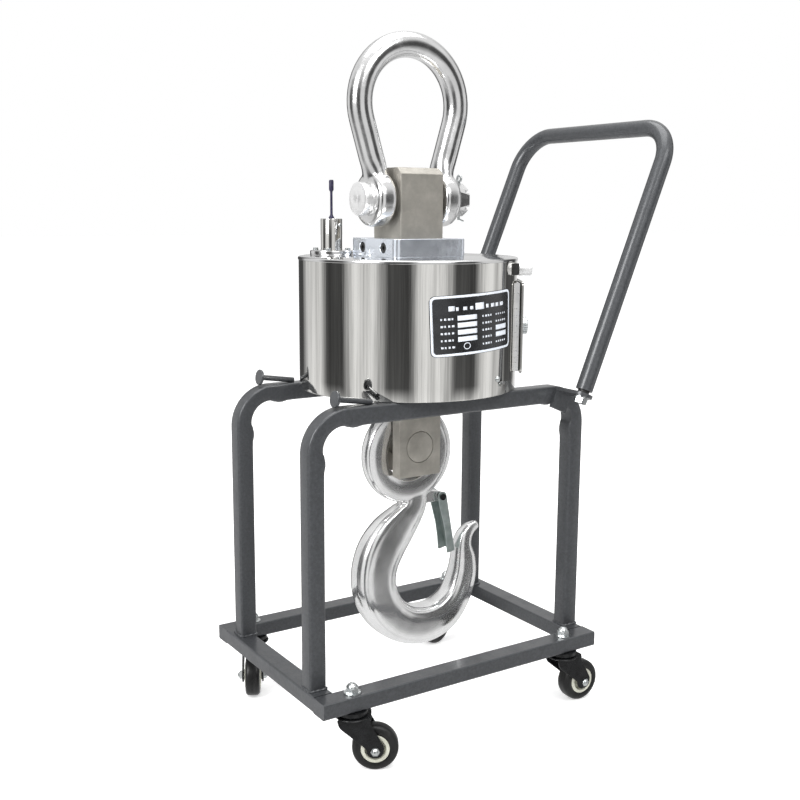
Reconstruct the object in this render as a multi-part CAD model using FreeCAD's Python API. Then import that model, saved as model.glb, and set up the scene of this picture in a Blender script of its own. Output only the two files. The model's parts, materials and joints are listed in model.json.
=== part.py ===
"""Wireless crane scale standing in its transport trolley. Millimetres, +Z up.

The origin is on the floor, under the centre of the trolley base. X runs along the long side of the base
towards the push handle, and the front of the object, with the rating plate, faces -Y.
"""
import FreeCAD, Part
import math
import os

V = FreeCAD.Vector
X_AXIS, Y_AXIS, Z_AXIS = V(1, 0, 0), V(0, 1, 0), V(0, 0, 1)

# ---- trolley -------------------------------------------------------------------------------------
BASE_LENGTH, BASE_WIDTH = 475.0, 336.0
RAIL_WIDTH, RAIL_HEIGHT, TUBE_WALL = 30.0, 22.0, 1.8
RAIL_BOTTOM = 85.0
RAIL_TOP = RAIL_BOTTOM + RAIL_HEIGHT
POST_SIZE = 25.0                 # square tube of the side frames
FRAME_TOP = 488.0                # top face of the side frames, which carries the scale
FRAME_OUTER_Y = 125.0            # outer face of each side frame
FRONT_POSTS_X = (-234.5, 237.5)  # outer faces of the front frame's posts
REAR_POSTS_X = (-229.5, 218.5)   # the rear frame is shorter
BEND_RADIUS = 60.0               # outside of the side frame's bends
HANDLE_TUBE_R, HANDLE_WALL = 12.5, 1.8
HANDLE_HALF_WIDTH = 168.0        # leg axis from the middle plane
HANDLE_FOOT = V(196, 0, 482)     # bracket plate's top face on the leg axis
HANDLE_TILT = 23.0               # from vertical, degrees
HANDLE_LEG = 420.0               # from the bracket plate to the top bar's axis
HANDLE_BEND_R = 58.0

# ---- casters -------------------------------------------------------------------------------------
STEM_X, STEM_Y = 186.0, 153.0
WHEEL_R, WHEEL_WIDTH = 31.5, 24.0
HUB_R, HUB_RIM = 19.5, 5.5       # outer radius of the hub's rim and its depth
CASTER_TRAIL = 31.0
CASTER_YAW = {"front_left": -32.0, "front_right": -2.0, "rear_left": -118.0, "rear_right": -166.0}
STEM_R = 5.0
AXLE_R = 4.0
RUNNING_GAP = 0.05               # radial play of pins and axles
FACE_GAP = 0.3                   # play between faces of neighbouring moving parts

# ---- scale ---------------------------------------------------------------------------------------
HOUSING_R, HOUSING_WALL = 159.0, 2.0
HOUSING_BOTTOM = FRAME_TOP + FACE_GAP
HOUSING_TOP = 678.0
LID_THICKNESS, FLOOR_THICKNESS = 5.0, 4.0
PLATE_SIZE, PLATE_TOP = 122.0, 704.0
BLOCK = 72.0                     # square section of the load cell's ends
BLOCK_TOP = 803.0
COLUMN_R = 27.0                  # measuring column of the load cell
SHACKLE_PIN_Z, SHACKLE_PIN_R = 759.0, 17.0
BOW_BAR_R, BOW_R, BOW_CENTRE_Z, LEG_TILT = 18.0, 82.0, 892.0, 17.0
EAR_R, EAR_INNER, EAR_OUTER = 39.0, 42.0, 71.0
HOOK_PIN_Z, HOOK_PIN_R = 400.0, 23.0
CLEVIS_BOTTOM, SLOT_WIDTH, SLOT_TOP = 356.0, 33.0, 474.0
EYE_R, EYE_HOLE_R, EYE_DEPTH = 76.0, 38.0, 31.0
LATCH_PIVOT, LATCH_PIN_R, LUG_WIDTH = V(58, 0, 311), 3.0, 12.0
ANTENNA = V(-80, 84, 0)
DOOR_WIDTH, DOOR_HEIGHT, DOOR_Z = 82.0, 133.0, 578.0
DOOR_FACE_X = 160.0              # pad's flat face, measured from the axis towards the door
DOOR_TURN = -33.0                # direction the battery door faces, in degrees from +X


def box(x0, x1, y0, y1, z0, z1):
    return Part.makeBox(x1 - x0, y1 - y0, z1 - z0, V(x0, y0, z0))


def cylinder(radius, start, axis, length):
    return Part.makeCylinder(radius, length, start, axis)


def ring(outer, inner, start, axis, length):
    return cylinder(outer, start, axis, length).cut(cylinder(inner, start, axis, length))


def hexagon(across_flats, start, axis, length):
    """Hexagonal prism with its axis through start."""
    corner = across_flats / math.sqrt(3)
    points = [V(corner * math.cos(math.radians(60 * k)), corner * math.sin(math.radians(60 * k)), 0)
              for k in range(7)]
    prism = Part.Face(Part.makePolygon(points)).extrude(V(0, 0, length))
    prism.Placement = FreeCAD.Placement(start, FreeCAD.Rotation(Z_AXIS, axis))
    return prism


def dome(radius, height, start, axis):
    """Shallow cap of a sphere standing on a flat disc."""
    sphere_r = (radius ** 2 + height ** 2) / (2 * height)
    cap = Part.makeSphere(sphere_r, V(0, 0, height - sphere_r)).common(
        Part.makeCylinder(radius, height, V(0, 0, 0), Z_AXIS))
    cap.Placement = FreeCAD.Placement(start, FreeCAD.Rotation(Z_AXIS, axis))
    return cap


def mirrored(shape, normal):
    return shape.mirror(V(0, 0, 0), normal)


def turned(shape, degrees, centre=V(0, 0, 0), axis=Z_AXIS):
    copy = shape.copy()
    copy.rotate(centre, axis, degrees)
    return copy


def moved(shape, offset):
    copy = shape.copy()
    copy.translate(offset)
    return copy


def fused(first, *others):
    return first.fuse(list(others)).removeSplitter()


def filleted(shape, radius, chosen):
    """Rounds the edges for which chosen(edge) is true."""
    edges = [edge for edge in shape.Edges if chosen(edge)]
    return shape.makeFillet(radius, edges)


def along(edge, axis):
    """True for a straight edge parallel to axis."""
    if edge.Curve.TypeId != "Part::GeomLine":
        return False
    return abs(abs(edge.tangentAt(edge.FirstParameter).dot(axis)) - 1) < 1e-6


def rounded_wire(points, radii):
    """Closed outline in the XZ plane, each corner rounded by its own radius (0 keeps it sharp)."""
    edges, ends = [], []
    count = len(points)
    for i, corner in enumerate(points):
        before, after = points[i - 1], points[(i + 1) % count]
        into, out = (corner - before).normalize(), (after - corner).normalize()
        if radii[i] == 0:
            ends.append((corner, corner, None))
            continue
        turn = math.acos(max(-1, min(1, into.dot(out))))
        cut = radii[i] * math.tan(turn / 2)
        start, stop = corner - into * cut, corner + out * cut
        centre_way = (out - into).normalize()
        middle = corner + centre_way * (radii[i] / math.cos(turn / 2) - radii[i])
        ends.append((start, stop, middle))
    for i, (start, stop, middle) in enumerate(ends):
        if middle is not None:
            edges.append(Part.Arc(start, middle, stop).toShape())
        following = ends[(i + 1) % count][0]
        if stop.distanceToPoint(following) > 1e-6:
            edges.append(Part.LineSegment(stop, following).toShape())
    return Part.Wire(edges)


def save(name, *solids):
    shape = solids[0] if len(solids) == 1 else Part.makeCompound(list(solids))
    for solid in shape.Solids:
        if not solid.isValid():
            raise RuntimeError(name + " has an invalid solid")
    shape.exportStep("parts/" + name + ".step")


# ---- trolley base --------------------------------------------------------------------------------
def base():
    half_l, half_w, wall = BASE_LENGTH / 2, BASE_WIDTH / 2, TUBE_WALL
    cap = 2.0

    def long_rail():
        rail = box(-half_l + cap, half_l - cap, -half_w, -half_w + RAIL_WIDTH, RAIL_BOTTOM, RAIL_TOP)
        rail = filleted(rail, 2.5, lambda e: along(e, X_AXIS))
        bore = box(-half_l, half_l, -half_w + wall, -half_w + RAIL_WIDTH - wall, RAIL_BOTTOM + wall,
                   RAIL_TOP - wall)
        rail = rail.cut(bore)
        for x in (-STEM_X, STEM_X):
            rail = rail.cut(cylinder(STEM_R, V(x, -STEM_Y, RAIL_BOTTOM - 1), Z_AXIS, RAIL_HEIGHT + 2))
        return rail

    front = long_rail()
    save("base_front_rail", front)
    save("base_rear_rail", mirrored(front, Y_AXIS))
    inner = half_w - RAIL_WIDTH
    left = box(-half_l, -half_l + RAIL_WIDTH, -inner, inner, RAIL_BOTTOM, RAIL_TOP)
    left = filleted(left, 2.5, lambda e: along(e, Y_AXIS))
    left = left.cut(box(-half_l + wall, -half_l + RAIL_WIDTH - wall, -inner, inner, RAIL_BOTTOM + wall,
                        RAIL_TOP - wall))
    save("base_left_rail", left)
    save("base_right_rail", mirrored(left, X_AXIS))
    end = box(-half_l, -half_l + cap, -half_w, -half_w + RAIL_WIDTH, RAIL_BOTTOM, RAIL_TOP)
    end = filleted(end, 2.4, lambda e: along(e, X_AXIS))
    save("rail_end_caps", end, mirrored(end, X_AXIS), mirrored(end, Y_AXIS),
         mirrored(mirrored(end, X_AXIS), Y_AXIS))


# ---- side frames ---------------------------------------------------------------------------------
def bent_band(left, right, offset, foot):
    """Face between the outside and the inside of the bent tube, each moved in by offset."""
    outer_z, inner_z = FRAME_TOP - offset, FRAME_TOP - POST_SIZE + offset
    outer_r, inner_r = BEND_RADIUS - offset, BEND_RADIUS - POST_SIZE + offset
    left_out, right_out = left + offset, right - offset
    left_in, right_in = left + POST_SIZE - offset, right - POST_SIZE + offset
    points = [V(left_out, 0, foot), V(left_out, 0, outer_z), V(right_out, 0, outer_z),
              V(right_out, 0, foot), V(right_in, 0, foot), V(right_in, 0, inner_z),
              V(left_in, 0, inner_z), V(left_in, 0, foot)]
    return Part.Face(rounded_wire(points, [0, outer_r, outer_r, 0, 0, inner_r, inner_r, 0]))


def side_frame(posts_x, low_y):
    """Arch of square tube between two posts, starting at low_y."""
    skin = moved(bent_band(*posts_x, 0, RAIL_TOP), V(0, low_y, 0)).extrude(V(0, POST_SIZE, 0))
    bore = moved(bent_band(*posts_x, TUBE_WALL, RAIL_TOP - 1), V(0, low_y + TUBE_WALL, 0))
    return skin.cut(bore.extrude(V(0, POST_SIZE - 2 * TUBE_WALL, 0)))


def side_frames():
    save("side_frame_front", side_frame(FRONT_POSTS_X, -FRAME_OUTER_Y))
    save("side_frame_rear", side_frame(REAR_POSTS_X, FRAME_OUTER_Y - POST_SIZE))

    # Round-headed bolts lie on the tubes as stops, resting on the head's rim and welded at the tip.
    head_r, shank_r, slope = 11.5, 4.0, math.radians(8.5)
    way = V(math.cos(slope), 0, -math.sin(slope))
    start = V(-189, -FRAME_OUTER_Y + POST_SIZE / 2, FRAME_TOP + head_r)
    disc = filleted(cylinder(head_r, start, way, 4), 1.2, lambda e: True)
    stud = fused(disc, cylinder(shank_r, start + way * 2, way, 56))
    stud = stud.cut(box(-200, -100, -FRAME_OUTER_Y, 0, FRAME_TOP - 20, FRAME_TOP))
    save("stop_studs", stud, mirrored(stud, Y_AXIS))


# ---- push handle ---------------------------------------------------------------------------------
def handle():
    tilt = math.radians(HANDLE_TILT)
    up = V(math.sin(tilt), 0, math.cos(tilt))
    plate_t, plug_gap = 5.0, 5.0
    foot = V(HANDLE_FOOT.x, -HANDLE_HALF_WIDTH, HANDLE_FOOT.z)
    start = foot + up * plug_gap
    corner = foot + up * HANDLE_LEG
    r = HANDLE_BEND_R
    far_start, far_corner = V(start.x, -start.y, start.z), V(corner.x, -corner.y, corner.z)
    leg_end, bar_start = corner - up * r, corner + Y_AXIS * r
    far_leg, bar_end = far_corner - up * r, far_corner - Y_AXIS * r
    centre = leg_end + Y_AXIS * r
    far_centre = far_leg - Y_AXIS * r
    middle = centre + (up - Y_AXIS).normalize() * r
    far_middle = far_centre + (up + Y_AXIS).normalize() * r
    path = Part.Wire([
        Part.LineSegment(start, leg_end).toShape(), Part.Arc(leg_end, middle, bar_start).toShape(),
        Part.LineSegment(bar_start, bar_end).toShape(), Part.Arc(bar_end, far_middle, far_leg).toShape(),
        Part.LineSegment(far_leg, far_start).toShape()])

    def sweep(radius):
        return path.makePipeShell([Part.Wire(Part.makeCircle(radius, start, up))], True, True)

    save("push_handle", sweep(HANDLE_TUBE_R).cut(sweep(HANDLE_TUBE_R - HANDLE_WALL)))

    plug = fused(cylinder(HANDLE_TUBE_R - HANDLE_WALL, foot + up * plug_gap, up, 18),
                 cylinder(HANDLE_TUBE_R - 4, foot, up, plug_gap))
    bore = cylinder(5, foot, up, 24)
    plug = plug.cut(bore)
    save("handle_end_plugs", plug, mirrored(plug, Y_AXIS))

    # Angle bracket: a flange welded flat on the side frame, and a round-ended plate square to the leg.
    half_plate = 15.0
    inner_y = -FRAME_OUTER_Y
    flat = box(-half_plate, half_plate, -HANDLE_HALF_WIDTH, inner_y + 5, -plate_t, 0)
    flat = fused(flat, cylinder(half_plate, V(0, -HANDLE_HALF_WIDTH, -plate_t), Z_AXIS, plate_t))
    flange = box(-half_plate, half_plate, inner_y - plate_t, inner_y, -32, 0)
    flat = flat.cut(box(-20, 20, inner_y, inner_y + 10, -10, 10))
    bracket = fused(flat, flange)
    bracket = bracket.cut(cylinder(5.2, V(0, -HANDLE_HALF_WIDTH, -10), Z_AXIS, 20))
    bracket = turned(bracket, HANDLE_TILT, V(0, 0, 0), Y_AXIS)
    bracket = moved(bracket, V(HANDLE_FOOT.x, 0, HANDLE_FOOT.z))
    save("handle_brackets", bracket, mirrored(bracket, Y_AXIS))

    head = foot - up * (plate_t + 2 + 8)
    bolt = fused(hexagon(17, head, up, 8), cylinder(11, head + up * 8, up, 2), cylinder(5, head + up * 9, up, 30))
    save("handle_bolts", bolt, mirrored(bolt, Y_AXIS))


# ---- casters -------------------------------------------------------------------------------------
def stem_places():
    for end, y in (("front", -STEM_Y), ("rear", STEM_Y)):
        for side, x in (("left", -STEM_X), ("right", STEM_X)):
            yield end + "_" + side, V(x, y, 0)


def casters():
    cup_r, cup_h = 21.0, 7.0
    fork_top = RAIL_BOTTOM - cup_h - FACE_GAP
    gap = WHEEL_WIDTH / 2 + 2
    leg_t = 2.5
    stems, nuts, washers = [], [], []
    for name, place in stem_places():
        cup = cylinder(cup_r, place + V(0, 0, RAIL_BOTTOM - cup_h), Z_AXIS, cup_h)
        cup = filleted(cup, 2.5, lambda e: e.BoundBox.ZMax < RAIL_BOTTOM - cup_h + 0.1 and e.Closed)
        kingpin = cylinder(6, place + V(0, 0, fork_top - 7), Z_AXIS, 12)
        stem = cylinder(STEM_R - 0.1, place + V(0, 0, RAIL_BOTTOM - 2), Z_AXIS, RAIL_HEIGHT + 11.5)
        rivet = cylinder(9, place + V(0, 0, fork_top - 3 - FACE_GAP - 3), Z_AXIS, 3)
        stems.append(fused(cup, kingpin, stem, rivet))
        washers.append(ring(11.5, STEM_R, place + V(0, 0, RAIL_TOP), Z_AXIS, 1.5))
        nut = fused(hexagon(16, place + V(0, 0, RAIL_TOP + 1.5), Z_AXIS, 7),
                    dome(7.6, 6, place + V(0, 0, RAIL_TOP + 8.5), Z_AXIS))
        nuts.append(nut.cut(cylinder(STEM_R, place + V(0, 0, RAIL_TOP + 1.5), Z_AXIS, 8.5)))

        yaw = CASTER_YAW[name]
        # Built with the stem on the Z axis and the wheel towards +X, then turned and moved into place.
        axle_at = V(CASTER_TRAIL, 0, WHEEL_R)
        crown = cylinder(24, V(0, 0, fork_top - 3), Z_AXIS, 3)
        crown = fused(crown, box(0, 26, -gap - leg_t, gap + leg_t, fork_top - 3, fork_top))
        side = Part.Wire([
            Part.LineSegment(V(-21, 0, fork_top), V(-19, 0, fork_top - 12)).toShape(),
            Part.LineSegment(V(-19, 0, fork_top - 12), V(CASTER_TRAIL - 11, 0, WHEEL_R - 3)).toShape(),
            Part.Arc(V(CASTER_TRAIL - 11, 0, WHEEL_R - 3), V(CASTER_TRAIL + 2, 0, WHEEL_R - 11.2),
                     V(CASTER_TRAIL + 11, 0, WHEEL_R + 2)).toShape(),
            Part.LineSegment(V(CASTER_TRAIL + 11, 0, WHEEL_R + 2), V(26, 0, fork_top)).toShape(),
            Part.LineSegment(V(26, 0, fork_top), V(-21, 0, fork_top)).toShape()])
        leg = moved(Part.Face(side), V(0, gap, 0)).extrude(V(0, leg_t, 0))
        fork = fused(crown, leg, mirrored(leg, Y_AXIS))
        outline = cylinder(24, V(0, 0, 0), Z_AXIS, 90).fuse(box(0, 60, -gap - leg_t, gap + leg_t, 0, 90))
        fork = fork.common(outline)
        fork = fork.cut(cylinder(6 + RUNNING_GAP, V(0, 0, fork_top - 4), Z_AXIS, 6))
        fork = fork.cut(cylinder(AXLE_R, axle_at - V(0, 40, 0), Y_AXIS, 80))
        reach = gap + leg_t
        axle = fused(cylinder(AXLE_R, axle_at - V(0, reach + 4, 0), Y_AXIS, 2 * reach + 8),
                     hexagon(11, axle_at - V(0, reach + 4, 0), Y_AXIS, 4),
                     hexagon(11, axle_at + V(0, reach, 0), Y_AXIS, 4),
                     dome(5, 3.2, axle_at + V(0, reach + 4, 0), Y_AXIS),
                     dome(5, 3.2, axle_at - V(0, reach + 4, 0), -Y_AXIS))
        half = WHEEL_WIDTH / 2
        hub = ring(HUB_R, HUB_R - HUB_RIM, axle_at - V(0, half, 0), Y_AXIS, WHEEL_WIDTH)
        web = ring(HUB_R - HUB_RIM + 0.5, 8, axle_at - V(0, 2.5, 0), Y_AXIS, 5)
        for k in range(6):
            window = cylinder(2.2, axle_at + V(11.2, -5, 0), Y_AXIS, 10)
            web = web.cut(turned(window, 60 * k, axle_at, Y_AXIS))
        boss = ring(8.5, AXLE_R + RUNNING_GAP, axle_at - V(0, half + 1.6, 0), Y_AXIS, WHEEL_WIDTH + 3.2)
        hub = fused(hub, web, boss)
        tread = ring(WHEEL_R, HUB_R, axle_at - V(0, half - 1, 0), Y_AXIS, WHEEL_WIDTH - 2)
        tread = filleted(tread, 4, lambda e: e.Closed and e.Curve.TypeId == "Part::GeomCircle"
                         and e.Curve.Radius > WHEEL_R - 1)
        for label, shape in (("fork", fork), ("axle", axle), ("hub", hub), ("tread", tread)):
            save("caster_" + label + "_" + name, moved(turned(shape, yaw), place))
    save("caster_stems", *stems)
    save("stem_nuts", *nuts)
    save("stem_washers", *washers)


# ---- housing -------------------------------------------------------------------------------------
def housing():
    lid_bottom = HOUSING_TOP - LID_THICKNESS
    shell = ring(HOUSING_R, HOUSING_R - HOUSING_WALL, V(0, 0, HOUSING_BOTTOM), Z_AXIS, lid_bottom - HOUSING_BOTTOM)
    low, high = DOOR_Z - DOOR_HEIGHT / 2, DOOR_Z + DOOR_HEIGHT / 2
    # Everything round the battery door is drawn facing +X and then turned to face its own way.
    opening = box(130, 170, -30, 30, low + 14, high - 14)
    shell = shell.cut(turned(opening, DOOR_TURN))
    lid = cylinder(HOUSING_R + 1, V(0, 0, lid_bottom), Z_AXIS, LID_THICKNESS)
    lid = filleted(lid, 2.2, lambda e: e.Closed and e.BoundBox.ZMin > lid_bottom + 0.5)
    lid = lid.cut(cylinder(COLUMN_R + 1, V(0, 0, lid_bottom - 1), Z_AXIS, 20))
    lid = lid.cut(cylinder(7, V(ANTENNA.x, ANTENNA.y, lid_bottom - 1), Z_AXIS, 20))
    floor_r = HOUSING_R - HOUSING_WALL
    floor = ring(floor_r, COLUMN_R + 1, V(0, 0, HOUSING_BOTTOM), Z_AXIS, FLOOR_THICKNESS)

    # The door frame is a flat pad whose back follows the round shell.
    pad = box(125, DOOR_FACE_X, -DOOR_WIDTH / 2 + 3, DOOR_WIDTH / 2 - 3, low + 3, high - 3)
    pad = pad.cut(cylinder(HOUSING_R, V(0, 0, low - 5), Z_AXIS, DOOR_HEIGHT + 10)).cut(opening)
    screw_angle = math.radians(-71)
    outward = V(math.cos(screw_angle), math.sin(screw_angle), 0)
    at = outward * (HOUSING_R - HOUSING_WALL) + V(0, 0, 512)
    screw = fused(cylinder(2.5, at - outward * 4, outward, 4 + HOUSING_WALL),
                  dome(4.5, 3.6, at + outward * HOUSING_WALL, outward))
    shell = shell.cut(cylinder(2.5, at - outward * 5, outward, 12))
    save("housing_shell", shell)
    save("housing_lid", lid)
    save("housing_floor", floor)
    save("door_frame", turned(pad, DOOR_TURN))
    save("housing_screw", screw)

    # Battery door with its seal, knurled knob, and what lies behind it.
    face = DOOR_FACE_X
    seal_t, door_t = 2.0, 3.5
    seal = box(face, face + seal_t, -DOOR_WIDTH / 2 + 4, DOOR_WIDTH / 2 - 4, low + 4, high - 4).cut(opening)
    door = box(face + seal_t + 0.1, face + seal_t + door_t, -DOOR_WIDTH / 2, DOOR_WIDTH / 2, low, high)
    door = filleted(door, 8, lambda e: along(e, X_AXIS))
    door = door.cut(cylinder(4 + RUNNING_GAP, V(face, 0, DOOR_Z), X_AXIS, 10))
    knob_x, knob_t = face + seal_t + door_t + FACE_GAP, 10.0
    knob = cylinder(13, V(knob_x, 0, DOOR_Z), X_AXIS, knob_t)
    knob = filleted(knob, 1.5, lambda e: e.Closed and e.BoundBox.XMin > knob_x + knob_t - 1)
    for k in range(24):
        groove = cylinder(0.9, V(knob_x - 1, 13.3, DOOR_Z), X_AXIS, knob_t + 2)
        knob = knob.cut(turned(groove, 15 * k, V(0, 0, DOOR_Z), X_AXIS))
    knob = fused(knob, cylinder(4, V(knob_x - 9, 0, DOOR_Z), X_AXIS, 9.5))
    pack = filleted(box(78, 146, -26, 26, low + 18, high - 18), 3, lambda e: True)
    save("door_seal", turned(seal, DOOR_TURN))
    save("battery_door", turned(door, DOOR_TURN))
    save("door_knob", turned(knob, DOOR_TURN))
    save("battery_pack", turned(pack, DOOR_TURN))
    save("circuit_board", box(-60, 60, 52, 53.6, 500, 600), box(-52, 52, 53.6, 60, 520, 580))

    # Charging socket and its screw cap, high on the same side.
    socket_y, socket_z, seat_x, cap_t = -45.0, 662.0, 156.0, 19.0
    block = box(139, seat_x, socket_y - 9.5, socket_y + 9.5, socket_z - 8, socket_z + 8)
    nose = cylinder(6, V(seat_x - 8, socket_y, socket_z), X_AXIS, cap_t + 2)
    socket = fused(block, nose).cut(cylinder(HOUSING_R, V(0, 0, 640), Z_AXIS, 50))
    cap = cylinder(9, V(seat_x + FACE_GAP, socket_y, socket_z), X_AXIS, cap_t)
    cap = filleted(cap, 1.5, lambda e: e.Closed and e.BoundBox.XMin > seat_x + cap_t - 1)
    cap = cap.cut(cylinder(6 + RUNNING_GAP, V(seat_x - 1, socket_y, socket_z), X_AXIS, cap_t - 4))
    save("charging_socket", turned(socket, DOOR_TURN))
    save("socket_cap", turned(cap, DOOR_TURN))


# ---- rating plate --------------------------------------------------------------------------------
def nameplate():
    """Thin plate bent round the front of the housing, sitting slightly askew."""
    facing, skew = -86.8, 2.6
    half_width, half_height, middle_z, plate_t = 70.5, 41.0, 593.0, 1.2
    band = ring(HOUSING_R + plate_t, HOUSING_R, V(0, 0, middle_z - 60), Z_AXIS, 120)
    window = box(-half_width, half_width, -HOUSING_R - 5, 0, middle_z - half_height, middle_z + half_height)
    window = filleted(window, 8, lambda e: along(e, Y_AXIS))
    window = turned(window, -skew, V(0, 0, middle_z), Y_AXIS)
    save("nameplate", band.common(turned(window, facing + 90)))


# ---- load cell and its clamp plate ---------------------------------------------------------------
def load_cell():
    half = BLOCK / 2
    seat = PLATE_TOP - 3
    block = box(-half, half, -half, half, seat, BLOCK_TOP)
    chamfer_edges = [e for e in block.Edges if along(e, X_AXIS) and e.BoundBox.ZMin > BLOCK_TOP - 1]
    block = block.makeChamfer(9, chamfer_edges)
    column = cylinder(COLUMN_R, V(0, 0, SLOT_TOP + 5), Z_AXIS, seat - SLOT_TOP - 5)
    waist = ring(COLUMN_R + 1, COLUMN_R - 5, V(0, 0, 560), Z_AXIS, 50)
    clevis = box(-half, half, -half, half, CLEVIS_BOTTOM, HOUSING_BOTTOM - 1)
    clevis = clevis.cut(box(-50, 50, -SLOT_WIDTH / 2, SLOT_WIDTH / 2, CLEVIS_BOTTOM - 1, SLOT_TOP))
    body = fused(block, column, clevis).cut(waist)
    body = body.cut(cylinder(SHACKLE_PIN_R + RUNNING_GAP, V(-50, 0, SHACKLE_PIN_Z), X_AXIS, 100))
    body = body.cut(cylinder(HOOK_PIN_R, V(0, -50, HOOK_PIN_Z), Y_AXIS, 100))
    save("load_cell", body)
    save("hook_pin", cylinder(HOOK_PIN_R, V(0, -half, HOOK_PIN_Z), Y_AXIS, BLOCK))

    edge = PLATE_SIZE / 2
    plate = box(-edge, edge, -edge, edge, HOUSING_TOP, PLATE_TOP)
    plate = filleted(plate, 9, lambda e: along(e, Z_AXIS))
    plate = plate.cut(box(-half, half, -half, half, seat, PLATE_TOP + 1))
    plate = plate.cut(cylinder(COLUMN_R, V(0, 0, HOUSING_TOP - 1), Z_AXIS, 40))
    screws = []
    for side in (-1, 1):
        for y in (-28, 28):
            mouth = V(side * edge, y, (HOUSING_TOP + PLATE_TOP) / 2)
            inward = V(-side, 0, 0)
            plate = plate.cut(cylinder(7.5, mouth, inward, 6))
            plate = plate.cut(cylinder(4, mouth, inward, 20))
            screw = fused(cylinder(6.5, mouth + inward, inward, 5), cylinder(4, mouth + inward * 5, inward, 15))
            screws.append(screw.cut(hexagon(6, mouth - inward, inward, 5)))
    save("top_plate", plate)
    save("plate_screws", *screws)


# ---- shackle -------------------------------------------------------------------------------------
def shackle():
    tilt = math.radians(LEG_TILT)
    top = V(0, 0, BOW_CENTRE_Z + BOW_R)
    tangent = V(BOW_R * math.cos(tilt), 0, BOW_CENTRE_Z - BOW_R * math.sin(tilt))
    drop = tangent.z - SHACKLE_PIN_Z
    ear = V(tangent.x - drop * math.tan(tilt), 0, SHACKLE_PIN_Z)
    left_tangent, left_ear = V(-tangent.x, 0, tangent.z), V(-ear.x, 0, ear.z)
    path = Part.Wire([Part.LineSegment(left_ear, left_tangent).toShape(),
                      Part.Arc(left_tangent, top, tangent).toShape(),
                      Part.LineSegment(tangent, ear).toShape()])
    start_way = (left_tangent - left_ear).normalize()
    circle = Part.Wire(Part.makeCircle(BOW_BAR_R, left_ear, start_way))
    bow = path.makePipeShell([circle], True, True)
    for side in (-1, 1):
        x0 = EAR_INNER if side > 0 else -EAR_OUTER
        disc = cylinder(EAR_R, V(x0, 0, SHACKLE_PIN_Z), X_AXIS, EAR_OUTER - EAR_INNER)
        bow = bow.fuse(filleted(disc, 9, lambda e: e.Closed)).removeSplitter()
        bow = bow.cut(cylinder(EAR_R - 9, V(side * EAR_OUTER, 0, SHACKLE_PIN_Z), V(side, 0, 0), 30))
    bow = bow.cut(box(-EAR_INNER, EAR_INNER, -60, 60, SHACKLE_PIN_Z - 60, SHACKLE_PIN_Z + 46))
    bow = bow.cut(cylinder(SHACKLE_PIN_R, V(-120, 0, SHACKLE_PIN_Z), X_AXIS, 240))
    save("shackle_bow", bow)

    head = cylinder(23.5, V(-EAR_OUTER - 15, 0, SHACKLE_PIN_Z), X_AXIS, 15)
    head = filleted(head, 1.5, lambda e: e.Closed)
    head = head.cut(Part.makeCone(3, 0, 3, V(-EAR_OUTER - 15, 0, SHACKLE_PIN_Z), X_AXIS))
    shank = cylinder(SHACKLE_PIN_R, V(-EAR_OUTER - 1, 0, SHACKLE_PIN_Z), X_AXIS, 2 * EAR_OUTER + 26)
    bolt = fused(head, shank)
    pin_x = EAR_OUTER + 19
    bolt = bolt.cut(cylinder(2.2, V(pin_x, 0, SHACKLE_PIN_Z - 30), Z_AXIS, 60))
    save("shackle_bolt", bolt)
    nut = hexagon(46, V(EAR_OUTER, 0, SHACKLE_PIN_Z), X_AXIS, 22)
    nut = nut.common(Part.makeCone(26, 24, 22, V(EAR_OUTER, 0, SHACKLE_PIN_Z), X_AXIS))
    nut = nut.cut(cylinder(SHACKLE_PIN_R, V(EAR_OUTER - 1, 0, SHACKLE_PIN_Z), X_AXIS, 40))
    for k in range(3):
        slot = box(EAR_OUTER + 15, EAR_OUTER + 30, -2.5, 2.5, SHACKLE_PIN_Z - 40, SHACKLE_PIN_Z + 40)
        nut = nut.cut(turned(slot, 60 * k, V(0, 0, SHACKLE_PIN_Z), X_AXIS))
    save("shackle_nut", nut)
    cotter = cylinder(2, V(pin_x, 0, SHACKLE_PIN_Z - 29), Z_AXIS, 56)
    eye = Part.makeTorus(4.5, 1.8, V(pin_x, 0, SHACKLE_PIN_Z + 31), X_AXIS)
    tail = cylinder(1.6, V(pin_x, 0, SHACKLE_PIN_Z - 28), V(1, 0, -0.35), 9)
    save("shackle_cotter", fused(cotter, eye, tail))


# ---- load hook -----------------------------------------------------------------------------------
# Stations along the hook's body: centre x and z, width in the hook's plane, thickness across it,
# and the direction in which the body runs there, in degrees from +X.
HOOK_STATIONS = (
    (13, 322, 44, 29, -90), (12, 306, 42, 31, -97), (0, 292, 50, 36, -125), (-25, 269, 68, 44, -118),
    (-46, 242, 73, 49, -107), (-59, 205, 68, 52, -92), (-54, 169, 66, 54, -71), (-34, 138, 63, 55, -46),
    (-4, 118, 61, 55, -22), (32, 111, 60, 54, 3), (67, 120, 56, 50, 30), (93, 145, 48, 45, 60),
    (106, 180, 43, 40, 83), (106, 205, 38, 36, 92), (105.5, 225, 27, 29, 84), (110, 240, 23, 24, 60),
    (119, 249, 19, 19, 46), (131, 254, 14, 14, 38),
)


def hook_section(x, z, width, thickness, heading):
    """Closed rounded section across the hook's body."""
    way = math.radians(heading)
    across = V(-math.sin(way), 0, math.cos(way))
    centre = V(x, 0, z)
    points = []
    count = 12
    for k in range(count):
        angle = 2 * math.pi * k / count
        c, s = math.cos(angle), math.sin(angle)
        squareness = (abs(c) ** 2.6 + abs(s) ** 2.6) ** (-1 / 2.6)
        points.append(centre + across * (width / 2 * c * squareness) + Y_AXIS * (thickness / 2 * s * squareness))
    curve = Part.BSplineCurve()
    curve.interpolate(points, True)
    return Part.Wire(curve.toShape())


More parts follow.
